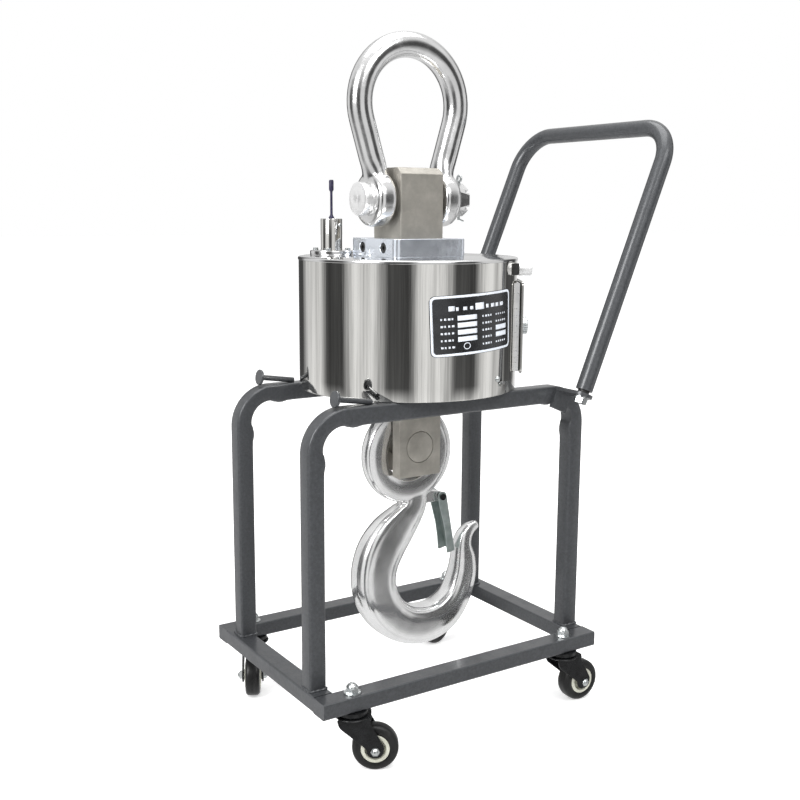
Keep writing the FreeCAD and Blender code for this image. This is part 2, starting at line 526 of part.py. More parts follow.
def hook():
    hang = EYE_HOLE_R - HOOK_PIN_R - FACE_GAP
    eye_z = HOOK_PIN_Z - hang
    bar = (EYE_R - EYE_HOLE_R) / 2
    eye = Part.makeTorus(EYE_HOLE_R + bar, bar, V(0, 0, eye_z), Y_AXIS)
    stretch = FreeCAD.Matrix()
    stretch.scale(1, EYE_DEPTH / (2 * bar), 1)
    eye = eye.transformGeometry(stretch)
    sections = [hook_section(*station) for station in HOOK_STATIONS]
    body = Part.makeLoft(sections, True, False, False)
    pivot = LATCH_PIVOT
    lug = fused(cylinder(7, pivot - V(0, LUG_WIDTH / 2, 0), Y_AXIS, LUG_WIDTH),
                box(20, pivot.x, -LUG_WIDTH / 2, LUG_WIDTH / 2, pivot.z - 7, pivot.z + 7))
    forged = eye.fuse([body, lug]).removeSplitter()
    save("load_hook", forged.cut(cylinder(LATCH_PIN_R, pivot - V(0, 20, 0), Y_AXIS, 40)))

    # Sprung latch of folded sheet: two cheeks and a back, closing against the inside of the point.
    length, width = 93.0, 26.0
    tilt = 12.0
    sheet = 2.0

    def cheek(y):
        outline = rounded_wire([V(-8, 0, 8), V(8, 0, 8), V(5, 0, -70), V(5, 0, -length),
                                V(-9, 0, -length), V(-7, 0, -60)], [7, 7, 0, 3, 3, 0])
        return moved(Part.Face(outline), V(0, y, 0)).extrude(V(0, sheet, 0))

    back = box(3, 5, -width / 2, width / 2, -length, -14)
    latch = fused(cheek(-width / 2), cheek(width / 2 - sheet), back)
    latch = latch.cut(cylinder(LATCH_PIN_R + RUNNING_GAP, V(0, -20, 0), Y_AXIS, 40))
    save("hook_latch", moved(turned(latch, -tilt, V(0, 0, 0), Y_AXIS), pivot))
    rivet = cylinder(LATCH_PIN_R, pivot - V(0, width / 2 + 2.4, 0), Y_AXIS, width + 4.8)
    heads = [cylinder(5, pivot + V(0, y, 0), Y_AXIS, 2) for y in (-width / 2 - 2.4, width / 2 + 0.4)]
    save("latch_pin", fused(rivet, *heads))
    spring = Part.makeTorus(5.2, 1.0, pivot + V(0, 8.6, 0), Y_AXIS)
    save("latch_spring", spring, moved(spring, V(0, -17.2, 0)))


# ---- antenna -------------------------------------------------------------------------------------
def antenna():
    foot = V(ANTENNA.x, ANTENNA.y, HOUSING_TOP)
    flange_t, can_h = 7.0, 46.0
    flange = filleted(cylinder(32, foot, Z_AXIS, flange_t), 1.2, lambda e: e.Closed)
    screws = []
    for angle in (-45, 45, 135, 225):
        at = foot + V(24.5 * math.cos(math.radians(angle)), 24.5 * math.sin(math.radians(angle)), 0)
        flange = flange.cut(cylinder(2, at - V(0, 0, 1), Z_AXIS, 10))
        screw = fused(cylinder(2, at, Z_AXIS, flange_t), cylinder(4, at + V(0, 0, flange_t), Z_AXIS, 3.5))
        screws.append(screw.cut(hexagon(3, at + V(0, 0, flange_t + 1.5), Z_AXIS, 3)))
    save("antenna_flange", flange)
    save("antenna_screws", *screws)
    can = ring(16, 13, foot + V(0, 0, flange_t), Z_AXIS, can_h - 3)
    can = fused(can, cylinder(16, foot + V(0, 0, flange_t + can_h - 3), Z_AXIS, 3))
    save("antenna_housing", can)
    top = foot + V(0, 0, flange_t + can_h)
    rod = fused(Part.makeCone(4.5, 1.8, 6, top, Z_AXIS), cylinder(1.8, top, Z_AXIS, 42),
                filleted(cylinder(3.4, top + V(0, 0, 39), Z_AXIS, 17), 1, lambda e: e.Closed))
    save("antenna_rod", rod)


def main():
    os.makedirs("parts", exist_ok=True)
    base()
    side_frames()
    handle()
    casters()
    housing()
    nameplate()
    load_cell()
    shackle()
    hook()
    antenna()


main()
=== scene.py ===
import json
import math

import bmesh
import bpy
from mathutils import Matrix, Vector, noise


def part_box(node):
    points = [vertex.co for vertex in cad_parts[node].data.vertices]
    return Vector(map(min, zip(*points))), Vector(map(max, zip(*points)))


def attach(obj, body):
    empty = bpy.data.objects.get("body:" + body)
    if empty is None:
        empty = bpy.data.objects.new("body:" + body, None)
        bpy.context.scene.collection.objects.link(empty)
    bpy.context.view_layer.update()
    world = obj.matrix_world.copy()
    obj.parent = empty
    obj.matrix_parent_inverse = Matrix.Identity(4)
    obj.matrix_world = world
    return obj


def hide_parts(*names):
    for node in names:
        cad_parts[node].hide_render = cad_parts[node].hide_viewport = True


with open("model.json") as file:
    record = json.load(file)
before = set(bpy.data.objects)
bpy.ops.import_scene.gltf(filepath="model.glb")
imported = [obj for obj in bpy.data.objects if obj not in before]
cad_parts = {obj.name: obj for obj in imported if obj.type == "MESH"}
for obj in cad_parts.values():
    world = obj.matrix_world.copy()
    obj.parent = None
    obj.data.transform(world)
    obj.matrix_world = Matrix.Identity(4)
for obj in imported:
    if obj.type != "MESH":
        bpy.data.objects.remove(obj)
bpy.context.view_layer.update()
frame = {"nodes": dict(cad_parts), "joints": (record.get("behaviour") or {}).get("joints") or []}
nodes = frame["nodes"]
MM = 0.001
DOOR_TURN = Matrix.Rotation(math.radians(-33), 4, "Z")      # the battery door's own direction
CORNERS = ("front_left", "front_right", "rear_left", "rear_right")


# ---- mesh helpers: every shape is worked out in millimetres ---------------------------------------
def piece(name, verts, faces, body, slot, material, replaces=(), smooth=True):
    mesh = bpy.data.meshes.new(name)
    mesh.from_pydata([Vector(v) * MM for v in verts], [], faces)
    mesh.validate()
    bm = bmesh.new()
    bm.from_mesh(mesh)
    bmesh.ops.remove_doubles(bm, verts=bm.verts, dist=1e-6)
    bmesh.ops.recalc_face_normals(bm, faces=bm.faces)
    bm.to_mesh(mesh)
    bm.free()
    obj = bpy.data.objects.new(name, mesh)
    bpy.context.scene.collection.objects.link(obj)
    for poly in mesh.polygons:
        poly.use_smooth = True
    if smooth:
        mesh.set_sharp_from_angle(angle=math.radians(38))
    obj.data.materials.append(material)
    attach(obj, body)
    if replaces:
        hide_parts(*replaces)
    return obj


def bevel(obj, width, segments=3, angle=35, harden=True):
    mod = obj.modifiers.new("edges", "BEVEL")
    mod.width = width * MM
    mod.segments = segments
    mod.limit_method = "ANGLE"
    mod.angle_limit = math.radians(angle)
    mod.harden_normals = harden
    return obj


def apply_modifiers(obj):
    """Replaces the mesh by its evaluated form."""
    bpy.context.view_layer.update()
    graph = bpy.context.evaluated_depsgraph_get()
    mesh = bpy.data.meshes.new_from_object(obj.evaluated_get(graph))
    obj.modifiers.clear()
    obj.data = mesh
    return obj


def grid(rings, closed_rings=True, cap=True):
    """Skin over a list of equal rings; returns verts and faces."""
    verts = [p for ring in rings for p in ring]
    n = len(rings[0])
    faces = []
    for i in range(len(rings) - 1):
        for k in range(n if closed_rings else n - 1):
            a, b = i * n + k, i * n + (k + 1) % n
            faces.append((a, b, b + n, a + n))
    if cap:
        faces.append(tuple(range(n))[::-1])
        faces.append(tuple(range(len(verts) - n, len(verts))))
    return verts, faces


def lathe(profile, origin=(0, 0, 0), axis=(0, 0, 1), segments=64):
    """Turns (radius, height) points about the axis; ends with radius 0 close on a point."""
    turn = Vector((0, 0, 1)).rotation_difference(Vector(axis)).to_matrix()
    origin = Vector(origin)
    verts, faces = [], []
    previous = None
    for r, h in profile:
        if r < 1e-6:
            ring = [len(verts)]
            verts.append(origin + turn @ Vector((0, 0, h)))
        else:
            ring = list(range(len(verts), len(verts) + segments))
            for k in range(segments):
                a = 2 * math.pi * k / segments
                verts.append(origin + turn @ Vector((r * math.cos(a), r * math.sin(a), h)))
        if previous:
            for k in range(segments):
                a, b = previous[k % len(previous)], previous[(k + 1) % len(previous)]
                c, d = ring[(k + 1) % len(ring)], ring[k % len(ring)]
                face = []
                for v in (a, b, c, d):
                    if v not in face:
                        face.append(v)
                if len(face) > 2:
                    faces.append(tuple(face))
        previous = ring
    return verts, faces


def joined(*parts):
    verts, faces = [], []
    for v, f in parts:
        base = len(verts)
        verts += [Vector(p) for p in v]
        faces += [tuple(i + base for i in face) for face in f]
    return verts, faces


def moved(part, matrix):
    return [matrix @ Vector(p) for p in part[0]], part[1]


def rounded(points, radii, steps=6):
    """Corner-rounded copy of a closed 2-D outline."""
    out = []
    count = len(points)
    for i in range(count):
        p, a, b = (Vector(points[j % count]) for j in (i, i - 1, i + 1))
        r = radii[i] if isinstance(radii, (list, tuple)) else radii
        if r <= 0:
            out.append(p)
            continue
        u, v = (a - p).normalized(), (b - p).normalized()
        half = math.acos(max(-1, min(1, u.dot(v)))) / 2
        cut = r / math.tan(half)
        centre = p + (u + v).normalized() * (r / math.sin(half))
        start, end = p + u * cut - centre, p + v * cut - centre
        sweep = start.angle_signed(end)
        for k in range(steps + 1):
            t = -sweep * k / steps
            c, s = math.cos(t), math.sin(t)
            out.append(centre + Vector((start.x * c - start.y * s, start.x * s + start.y * c)))
    return out


def prism(outline, low, high, plane="XY", offset=(0, 0, 0)):
    """Extrudes a 2-D outline; plane names the axes of its two coordinates."""
    place = {"XY": lambda u, v, w: (u, v, w), "XZ": lambda u, v, w: (u, w, v), "YZ": lambda u, v, w: (w, u, v)}[plane]
    rings = [[Vector(place(p[0], p[1], w)) + Vector(offset) for p in outline] for w in (low, high)]
    return grid(rings)


def rect(x0, x1, y0, y1):
    return [(x0, y0), (x1, y0), (x1, y1), (x0, y1)]


def block(x0, x1, y0, y1, z0, z1):
    return prism(rect(x0, x1, y0, y1), z0, z1)


def drilled(obj, *cutters):
    """Cuts helper solids out of a piece."""
    for verts, faces in cutters:
        mesh = bpy.data.meshes.new("cutter")
        mesh.from_pydata([Vector(v) * MM for v in verts], [], faces)
        bm = bmesh.new()
        bm.from_mesh(mesh)
        bmesh.ops.recalc_face_normals(bm, faces=bm.faces)
        bm.to_mesh(mesh)
        bm.free()
        tool = bpy.data.objects.new("cutter", mesh)
        bpy.context.scene.collection.objects.link(tool)
        mod = obj.modifiers.new("cut", "BOOLEAN")
        mod.operation, mod.solver, mod.object = "DIFFERENCE", "EXACT", tool
        apply_modifiers(obj)
        bpy.data.objects.remove(tool)
    return obj


def rod(radius, start, axis, length, segments=48):
    return lathe([(0, 0), (radius, 0), (radius, length), (0, length)], start, axis, segments)


def remeshed(obj, voxel, smoothing):
    """Melts overlapping shells into one skin with soft joints."""
    mod = obj.modifiers.new("skin", "REMESH")
    mod.mode, mod.voxel_size, mod.use_smooth_shade = "VOXEL", voxel * MM, True
    soft = obj.modifiers.new("soft", "SMOOTH")
    soft.factor, soft.iterations = 0.5, smoothing
    apply_modifiers(obj)
    for poly in obj.data.polygons:
        poly.use_smooth = True
    return obj


# ---- materials -----------------------------------------------------------------------------------
class Look:
    """Small builder for a Principled material with noise-driven colour, roughness and bump."""

    def __init__(self, name, metallic=0.0, rough=0.5, **sockets):
        self.material = bpy.data.materials.new(name)
        self.material.use_nodes = True
        self.tree = self.material.node_tree
        self.shader = self.tree.nodes["Principled BSDF"]
        self.shader.inputs["Metallic"].default_value = metallic
        self.shader.inputs["Roughness"].default_value = rough
        for key, value in sockets.items():
            self.shader.inputs[key.replace("_", " ")].default_value = value
        self.coords = self.tree.nodes.new("ShaderNodeTexCoord")
        self.normal = None

    def link(self, a, b):
        self.tree.links.new(a, b)

    def noise(self, scale, detail=4.0, rough=0.55, stretch=(1, 1, 1), distortion=0.0):
        mapping = self.tree.nodes.new("ShaderNodeMapping")
        mapping.inputs["Scale"].default_value = stretch
        self.link(self.coords.outputs["Object"], mapping.inputs["Vector"])
        tex = self.tree.nodes.new("ShaderNodeTexNoise")
        tex.inputs["Scale"].default_value = scale
        tex.inputs["Detail"].default_value = detail
        tex.inputs["Roughness"].default_value = rough
        tex.inputs["Distortion"].default_value = distortion
        self.link(mapping.outputs["Vector"], tex.inputs["Vector"])
        return tex.outputs["Fac"]

    def cells(self, scale, stretch=(1, 1, 1)):
        mapping = self.tree.nodes.new("ShaderNodeMapping")
        mapping.inputs["Scale"].default_value = stretch
        self.link(self.coords.outputs["Object"], mapping.inputs["Vector"])
        tex = self.tree.nodes.new("ShaderNodeTexVoronoi")
        tex.feature = "SMOOTH_F1"
        tex.inputs["Scale"].default_value = scale
        self.link(mapping.outputs["Vector"], tex.inputs["Vector"])
        return tex.outputs["Distance"]

    def ramp(self, source, stops):
        node = self.tree.nodes.new("ShaderNodeValToRGB")
        elements = node.color_ramp.elements
        while len(elements) < len(stops):
            elements.new(0.5)
        for element, (at, colour) in zip(elements, stops):
            element.position = at
            element.color = (*colour, 1) if len(colour) == 3 else colour
        self.link(source, node.inputs["Fac"])
        return node.outputs["Color"]

    def colour(self, source, stops):
        self.link(self.ramp(source, stops), self.shader.inputs["Base Color"])
        return self

    def roughness(self, source, low, high):
        node = self.tree.nodes.new("ShaderNodeMapRange")
        node.inputs["From Min"].default_value, node.inputs["From Max"].default_value = 0.3, 0.7
        node.inputs["To Min"].default_value, node.inputs["To Max"].default_value = low, high
        self.link(source, node.inputs["Value"])
        self.link(node.outputs["Result"], self.shader.inputs["Roughness"])
        return self

    def bump(self, source, strength, distance):
        node = self.tree.nodes.new("ShaderNodeBump")
        node.inputs["Strength"].default_value = strength
        node.inputs["Distance"].default_value = distance * MM
        self.link(source, node.inputs["Height"])
        if self.normal is not None:
            self.link(self.normal, node.inputs["Normal"])
        self.normal = node.outputs["Normal"]
        self.link(self.normal, self.shader.inputs["Normal"])
        return self


def grey(value, tint=(1, 1, 1)):
    return tuple(value * t for t in tint)


def make_looks():
    looks = {}
    cool, warm = (0.93, 0.98, 1.06), (1.01, 1.0, 0.965)

    paint = Look("frame_paint", metallic=0.3, rough=0.36, Coat_Weight=0.45, Coat_Roughness=0.16)
    paint.colour(paint.noise(260, 6, 0.7), [(0.3, grey(0.048, cool)), (0.5, grey(0.062, cool)), (0.72, grey(0.080, cool))])
    paint.roughness(paint.noise(35, 5), 0.30, 0.48)
    paint.bump(paint.noise(900, 3), 0.25, 0.12).bump(paint.noise(55, 4), 0.15, 0.5)
    looks["paint"] = paint

    mirror = Look("mirror_steel", metallic=1.0, rough=0.05)
    # Colour: the vertical lighter and darker streaks are painted reflection bands down the wall.
    mirror.colour(mirror.noise(60, 6, 0.7, (1, 1, 0.02)), [(0.38, grey(0.52, warm)), (0.60, grey(0.98, warm))])
    mirror.roughness(mirror.noise(60, 6, 0.7, (1, 1, 0.12)), 0.035, 0.10)
    mirror.bump(mirror.noise(26, 5, 0.6, (1, 1, 0.035)), 0.7, 0.5).bump(mirror.noise(900, 2, 0.5, (1, 1, 0.05)), 0.04, 0.05)
    looks["mirror"] = mirror

    lid = Look("mirror_lid", metallic=1.0, rough=0.10)
    lid.colour(lid.noise(20, 3), [(0.35, grey(0.72)), (0.65, grey(0.84))])
    lid.roughness(lid.noise(40, 6, 0.7), 0.07, 0.17)
    lid.bump(lid.noise(12, 3), 0.06, 3.0)
    looks["lid"] = lid

    ground = Look("ground_steel", metallic=0.7, rough=0.3)
    ground.colour(ground.noise(40, 4), [(0.3, grey(0.72)), (0.7, grey(0.90))])
    ground.roughness(ground.noise(350, 5, 0.7, (1, 0.05, 1)), 0.24, 0.38)
    ground.bump(ground.noise(1400, 2, 0.6, (1, 0.04, 1)), 0.12, 0.06)
    looks["ground"] = ground

    slab = Look("plate_steel", metallic=0.8, rough=0.2)
    slab.colour(slab.noise(30, 4), [(0.3, grey(0.80, cool)), (0.7, grey(0.94, cool))])
    slab.roughness(slab.noise(24, 5, 0.6, distortion=0.6), 0.12, 0.3)
    slab.bump(slab.noise(16, 4, 0.6), 0.35, 4.0).bump(slab.noise(900, 2), 0.06, 0.05)
    looks["plate_steel"] = slab

    nickel = Look("nickel_cell", metallic=0.7, rough=0.42)
    nickel.colour(nickel.noise(30, 6, 0.65), [(0.3, (0.34, 0.325, 0.29)), (0.5, (0.42, 0.40, 0.36)), (0.7, (0.52, 0.50, 0.45))])
    nickel.roughness(nickel.noise(420, 5, 0.7), 0.34, 0.52)
    nickel.bump(nickel.noise(1500, 4, 0.7), 0.22, 0.06).bump(nickel.noise(700, 3, 0.6, (0.06, 1, 1)), 0.08, 0.05)
    looks["nickel"] = nickel

    forging = Look("polished_forging", metallic=1.0, rough=0.10)
    forging.colour(forging.noise(22, 4), [(0.3, grey(0.72)), (0.7, grey(0.92))])
    forging.roughness(forging.noise(28, 6, 0.65, distortion=0.4), 0.07, 0.26)
    forging.bump(forging.noise(26, 4, 0.5), 0.16, 3.0).bump(forging.noise(300, 4, 0.6), 0.08, 0.25)
    looks["forging"] = forging

    satin = Look("satin_forging", metallic=0.94, rough=0.16)
    satin.colour(satin.noise(22, 4), [(0.3, grey(0.86)), (0.7, grey(0.97))])
    satin.roughness(satin.noise(28, 3, 0.5), 0.10, 0.24)
    satin.bump(satin.noise(20, 2, 0.4), 0.3, 4.0)
    looks["satin"] = satin

    zinc = Look("bright_zinc", metallic=1.0, rough=0.25)
    zinc.colour(zinc.noise(120, 5), [(0.3, (0.56, 0.59, 0.60)), (0.7, (0.76, 0.78, 0.77))])
    zinc.roughness(zinc.noise(200, 5), 0.16, 0.36)
    zinc.bump(zinc.noise(900, 3), 0.12, 0.06)
    looks["zinc"] = zinc

    pressed = Look("pressed_zinc", metallic=0.85, rough=0.36)
    pressed.colour(pressed.noise(90, 5), [(0.3, (0.36, 0.42, 0.41)), (0.7, (0.52, 0.58, 0.56))])
    pressed.roughness(pressed.noise(160, 5), 0.28, 0.46)
    pressed.bump(pressed.noise(700, 3), 0.15, 0.08)
    looks["pressed"] = pressed

    black = Look("black_coating", metallic=0.0, rough=0.22, Specular_IOR_Level=0.3, Coat_Weight=0.12, Coat_Roughness=0.08)
    black.colour(black.noise(90, 4), [(0.3, grey(0.004, cool)), (0.7, grey(0.010, cool))])
    black.roughness(black.noise(120, 5), 0.2, 0.36)
    black.bump(black.noise(420, 4), 0.12, 0.15)
    looks["black"] = black

    cream = Look("hub_cream", rough=0.38, Coat_Weight=0.2)
    cream.colour(cream.noise(80, 5), [(0.3, (0.44, 0.44, 0.37)), (0.7, (0.56, 0.56, 0.48))])
    cream.roughness(cream.noise(150, 4), 0.3, 0.45)
    cream.bump(cream.noise(600, 3), 0.08, 0.06)
    looks["cream"] = cream

    tread = Look("tread_rubber", rough=0.4, Specular_IOR_Level=0.35)
    tread.colour(tread.noise(70, 6, 0.7), [(0.3, grey(0.006)), (0.6, grey(0.013)), (0.8, grey(0.03))])
    tread.roughness(tread.noise(90, 5), 0.24, 0.45)
    tread.bump(tread.noise(900, 4), 0.25, 0.1)
    looks["tread"] = tread

    plate = Look("plate_black", rough=0.3, Coat_Weight=0.12, Coat_Roughness=0.06)
    plate.colour(plate.noise(60, 4), [(0.3, grey(0.012, cool)), (0.7, grey(0.022, cool))])
    plate.roughness(plate.noise(180, 5), 0.18, 0.32)
    plate.bump(plate.noise(1200, 3), 0.05, 0.03)
    looks["plate"] = plate

    ink = Look("print_white", rough=0.4)
    ink.colour(ink.noise(300, 4), [(0.3, grey(0.68, cool)), (0.7, grey(0.84, cool))])
    ink.roughness(ink.noise(400, 3), 0.35, 0.5)
    looks["ink"] = ink

    aerial = Look("aerial_black", rough=0.45)
    aerial.colour(aerial.noise(200, 4), [(0.3, (0.012, 0.010, 0.035)), (0.7, (0.026, 0.022, 0.065))])
    aerial.roughness(aerial.noise(300, 4), 0.35, 0.55)
    aerial.bump(aerial.noise(900, 3), 0.1, 0.05)
    looks["aerial"] = aerial

    plastic = Look("black_plastic", rough=0.5)
    plastic.colour(plastic.noise(120, 4), [(0.3, grey(0.014)), (0.7, grey(0.026))])
    plastic.roughness(plastic.noise(300, 4), 0.42, 0.6)
    plastic.bump(plastic.noise(1200, 3), 0.2, 0.06)
    looks["plastic"] = plastic

    seal = Look("seal_rubber", rough=0.7)
    seal.colour(seal.noise(150, 4), [(0.3, grey(0.010)), (0.7, grey(0.02))])
    seal.bump(seal.noise(900, 3), 0.2, 0.06)
    looks["seal"] = seal

    board = Look("board_green", rough=0.4)
    board.colour(board.cells(140), [(0.2, (0.02, 0.16, 0.06)), (0.6, (0.01, 0.09, 0.035))])
    board.roughness(board.noise(300, 4), 0.3, 0.5)
    looks["board"] = board
    return {key: look.material for key, look in looks.items()}


LOOK = make_looks()
CAD_LOOKS = {
    "base_front_rail": "paint", "base_rear_rail": "paint", "base_left_rail": "paint", "base_right_rail": "paint",
    "rail_end_caps": "paint", "stop_studs": "paint", "handle_brackets": "paint", "handle_bolts": "zinc",
    "handle_end_plugs": "plastic", "caster_stems": "black", "stem_nuts": "zinc", "stem_washers": "zinc",
    "housing_screw": "zinc", "door_frame": "ground", "plate_screws": "plastic", "shackle_nut": "forging",
    "shackle_cotter": "zinc", "latch_pin": "black", "latch_spring": "zinc", "door_seal": "seal",
    "door_knob": "zinc", "battery_pack": "plastic", "circuit_board": "board", "antenna_screws": "zinc",
    "charging_socket": "plastic", "housing_floor": "lid",
}


def dress_cad():
    for corner in CORNERS:
        CAD_LOOKS["caster_axle_" + corner] = "zinc"
    for name, key in CAD_LOOKS.items():
        data = nodes[name].data
        data.materials.clear()
        data.materials.append(LOOK[key])


# ---- frame tubes ---------------------------------------------------------------------------------
def limits(node):
    """Node's box in millimetres."""
    low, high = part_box(node)
    return low / MM, high / MM


def square_section(half, radius, steps=4):
    out = []
    for quarter, (sx, sy) in enumerate(((1, 1), (-1, 1), (-1, -1), (1, -1))):
        for k in range(steps + 1):
            a = math.pi / 2 * (quarter + k / steps)
            out.append((sx * (half - radius) + radius * math.cos(a), sy * (half - radius) + radius * math.sin(a)))
    return out


def side_frame(name, node):
    """Square tube bent into an arch, its inner wall pinched in at each bend."""
    low, high = limits(node)
    half, outer = 12.5, 60.0
    mid_y = (low.y + high.y) / 2
    left, right, top, foot = low.x + half, high.x - half, high.z - half, low.z
    r = outer - half
    stations = []

    def pinch(t):
        """Inner wall's shift at distance t past a bend's end: drawn in within the bend, bulging just after it."""
        return -0.62 * math.exp(-((t - 11) / 8) ** 2)

    straight, bend = top - r - foot, r * math.pi / 2
    steps = [0.5 * (1 - math.cos(math.pi * k / 30)) for k in range(31)]
    for t in steps:
        stations.append((Vector((left, foot + straight * t)), 180, pinch(straight * (1 - t))))
    for k in range(1, 24):
        a = math.radians(180 - 90 * k / 24)
        middle = math.sin(math.pi * k / 24) ** 0.6
        stations.append((Vector((left + r, top - r)) + Vector((math.cos(a), math.sin(a))) * r, 180 - 90 * k / 24, middle))
    span = right - left - 2 * r
    for t in steps:
        stations.append((Vector((left + r + span * t, top)), 90, pinch(span * t) + pinch(span * (1 - t))))
    for k in range(1, 24):
        a = math.radians(90 - 90 * k / 24)
        middle = math.sin(math.pi * k / 24) ** 0.6
        stations.append((Vector((right - r, top - r)) + Vector((math.cos(a), math.sin(a))) * r, 90 - 90 * k / 24, middle))
    for t in steps:
        stations.append((Vector((right, top - r - straight * t)), 0, pinch(straight * t)))
    rings = []
    section = square_section(half, 3.2)
    for centre, angle, shift in stations:
        out = Vector((math.cos(math.radians(angle)), math.sin(math.radians(angle))))
        ring = []
        for n, b in section:
            inner = max(0.0, -n / half)
            n += 4.0 * shift * inner ** 2
            b *= 1 - 0.04 * max(0.0, shift) * inner
            p = centre + out * n
            ring.append((p.x, mid_y + b, p.y))
        rings.append(ring)
    piece(name, *grid(rings), "trolley", "frame_paint", LOOK["paint"], (node,))


def welds():
    """Lumpy beads round the feet of the posts and at the base's corners."""
    parts = []
    rail_top = limits("base_left_rail")[1].z

    def bead(path, radius, seed):
        rings = []
        for i, p in enumerate(path):
            ahead, back = path[(i + 1) % len(path)], path[i - 1]
            way = (Vector(ahead) - Vector(back)).normalized()
            side = way.cross(Vector((0, 0, 1))).normalized()
            lump = 1 + 0.30 * math.sin(i * 1.9 + seed) + 0.25 * noise.noise(Vector((i * 0.6, seed, 0)))
            rings.append([Vector(p) + (side * math.cos(a) + Vector((0, 0, 1)) * math.sin(a)) * radius * lump
                          for a in (2 * math.pi * k / 10 for k in range(10))])
        rings.append(rings[0])
        parts.append(grid(rings, cap=False))

    for node in ("side_frame_front", "side_frame_rear"):
        low, high = limits(node)
        for x0, x1 in ((low.x, low.x + 25), (high.x - 25, high.x)):
            loop = rounded([(x0, low.y), (x1, low.y), (x1, high.y), (x0, high.y)], 3, 4)
            path = []
            for i, p in enumerate(loop):
                q = loop[(i + 1) % len(loop)]
                steps = max(1, int((q - p).length / 2.2))
                path += [p.lerp(q, k / steps) for k in range(steps)]
            bead([(p.x, p.y, rail_top + 0.6) for p in path], 2.0, x0 + low.y)
    obj = piece("weld_beads", *joined(*parts), "trolley", "frame_paint", LOOK["paint"])
    return obj


def tube_path(points, radii, steps=20, run=12):
    """Centre line of a bent tube through 3-D corners."""
    out = [Vector(points[0])]
    for i in range(1, len(points) - 1):
        p, a, b = Vector(points[i]), Vector(points[i - 1]), Vector(points[i + 1])
        u, v = (a - p).normalized(), (b - p).normalized()
        half = u.angle(v) / 2
        cut, r = radii[i - 1] / math.tan(half), radii[i - 1]
        centre = p + (u + v).normalized() * (r / math.sin(half))
        start, end = p + u * cut - centre, p + v * cut - centre
        first = out[-1]
        out += [first.lerp(centre + start, k / run) for k in range(1, run)]
        sweep = start.angle(end)
        out += [centre + (start * math.sin((1 - k / steps) * sweep) + end * math.sin(k / steps * sweep))
                / math.sin(sweep) for k in range(steps + 1)]
    last = out[-1]
    out += [last.lerp(Vector(points[-1]), k / run) for k in range(1, run + 1)]
    return out


def swept_round(path, radius, segments=40, shape=None):
    """Round bar along a path. The shape argument is not used."""
    rings = []
    way = (path[1] - path[0]).normalized()
    side = way.cross(Vector((0, 1, 0)))
    side = (side if side.length > 0.1 else way.cross(Vector((1, 0, 0)))).normalized()
    for i, p in enumerate(path):
        ahead = (path[min(i + 1, len(path) - 1)] - path[max(i - 1, 0)]).normalized()
        side = (side - ahead * side.dot(ahead)).normalized()
        up = ahead.cross(side)
        rings.append([p + (side * math.cos(a) + up * math.sin(a)) * radius
                      for a in (2 * math.pi * k / segments for k in range(segments))])
    return rings


def push_handle():
    low, high = limits("push_handle")
    r = 12.5
    tilt = math.radians(23)
    up = Vector((math.sin(tilt), 0, math.cos(tilt)))
    half = high.y - r
    top = Vector((high.x - r, 0, high.z - r))
    # The open end is square to the leg, so the axis foot lies r*sin(tilt) above the lowest point.
    foot_z = low.z + r * math.sin(tilt)
    foot = top - up * ((top.z - foot_z) / up.z)
    a, b = foot + Vector((0, -half, 0)), top + Vector((0, -half, 0))
    c, d = top + Vector((0, half, 0)), foot + Vector((0, half, 0))
    rings = swept_round(tube_path([a, b, c, d], [58, 58], 28, 16), r, 48)
    lip = [[p.lerp(sum(ring, Vector()) / len(ring), 0.14) for p in ring] for ring in (rings[0], rings[-1])]
    deep = [[p + up * 9 for p in ring] for ring in lip]
    rings = [deep[0], lip[0]] + rings + [lip[1], deep[1]]
    obj = piece("push_handle_tube", *grid(rings, cap=False), "trolley", "frame_paint", LOOK["paint"], ("push_handle",))
    return obj


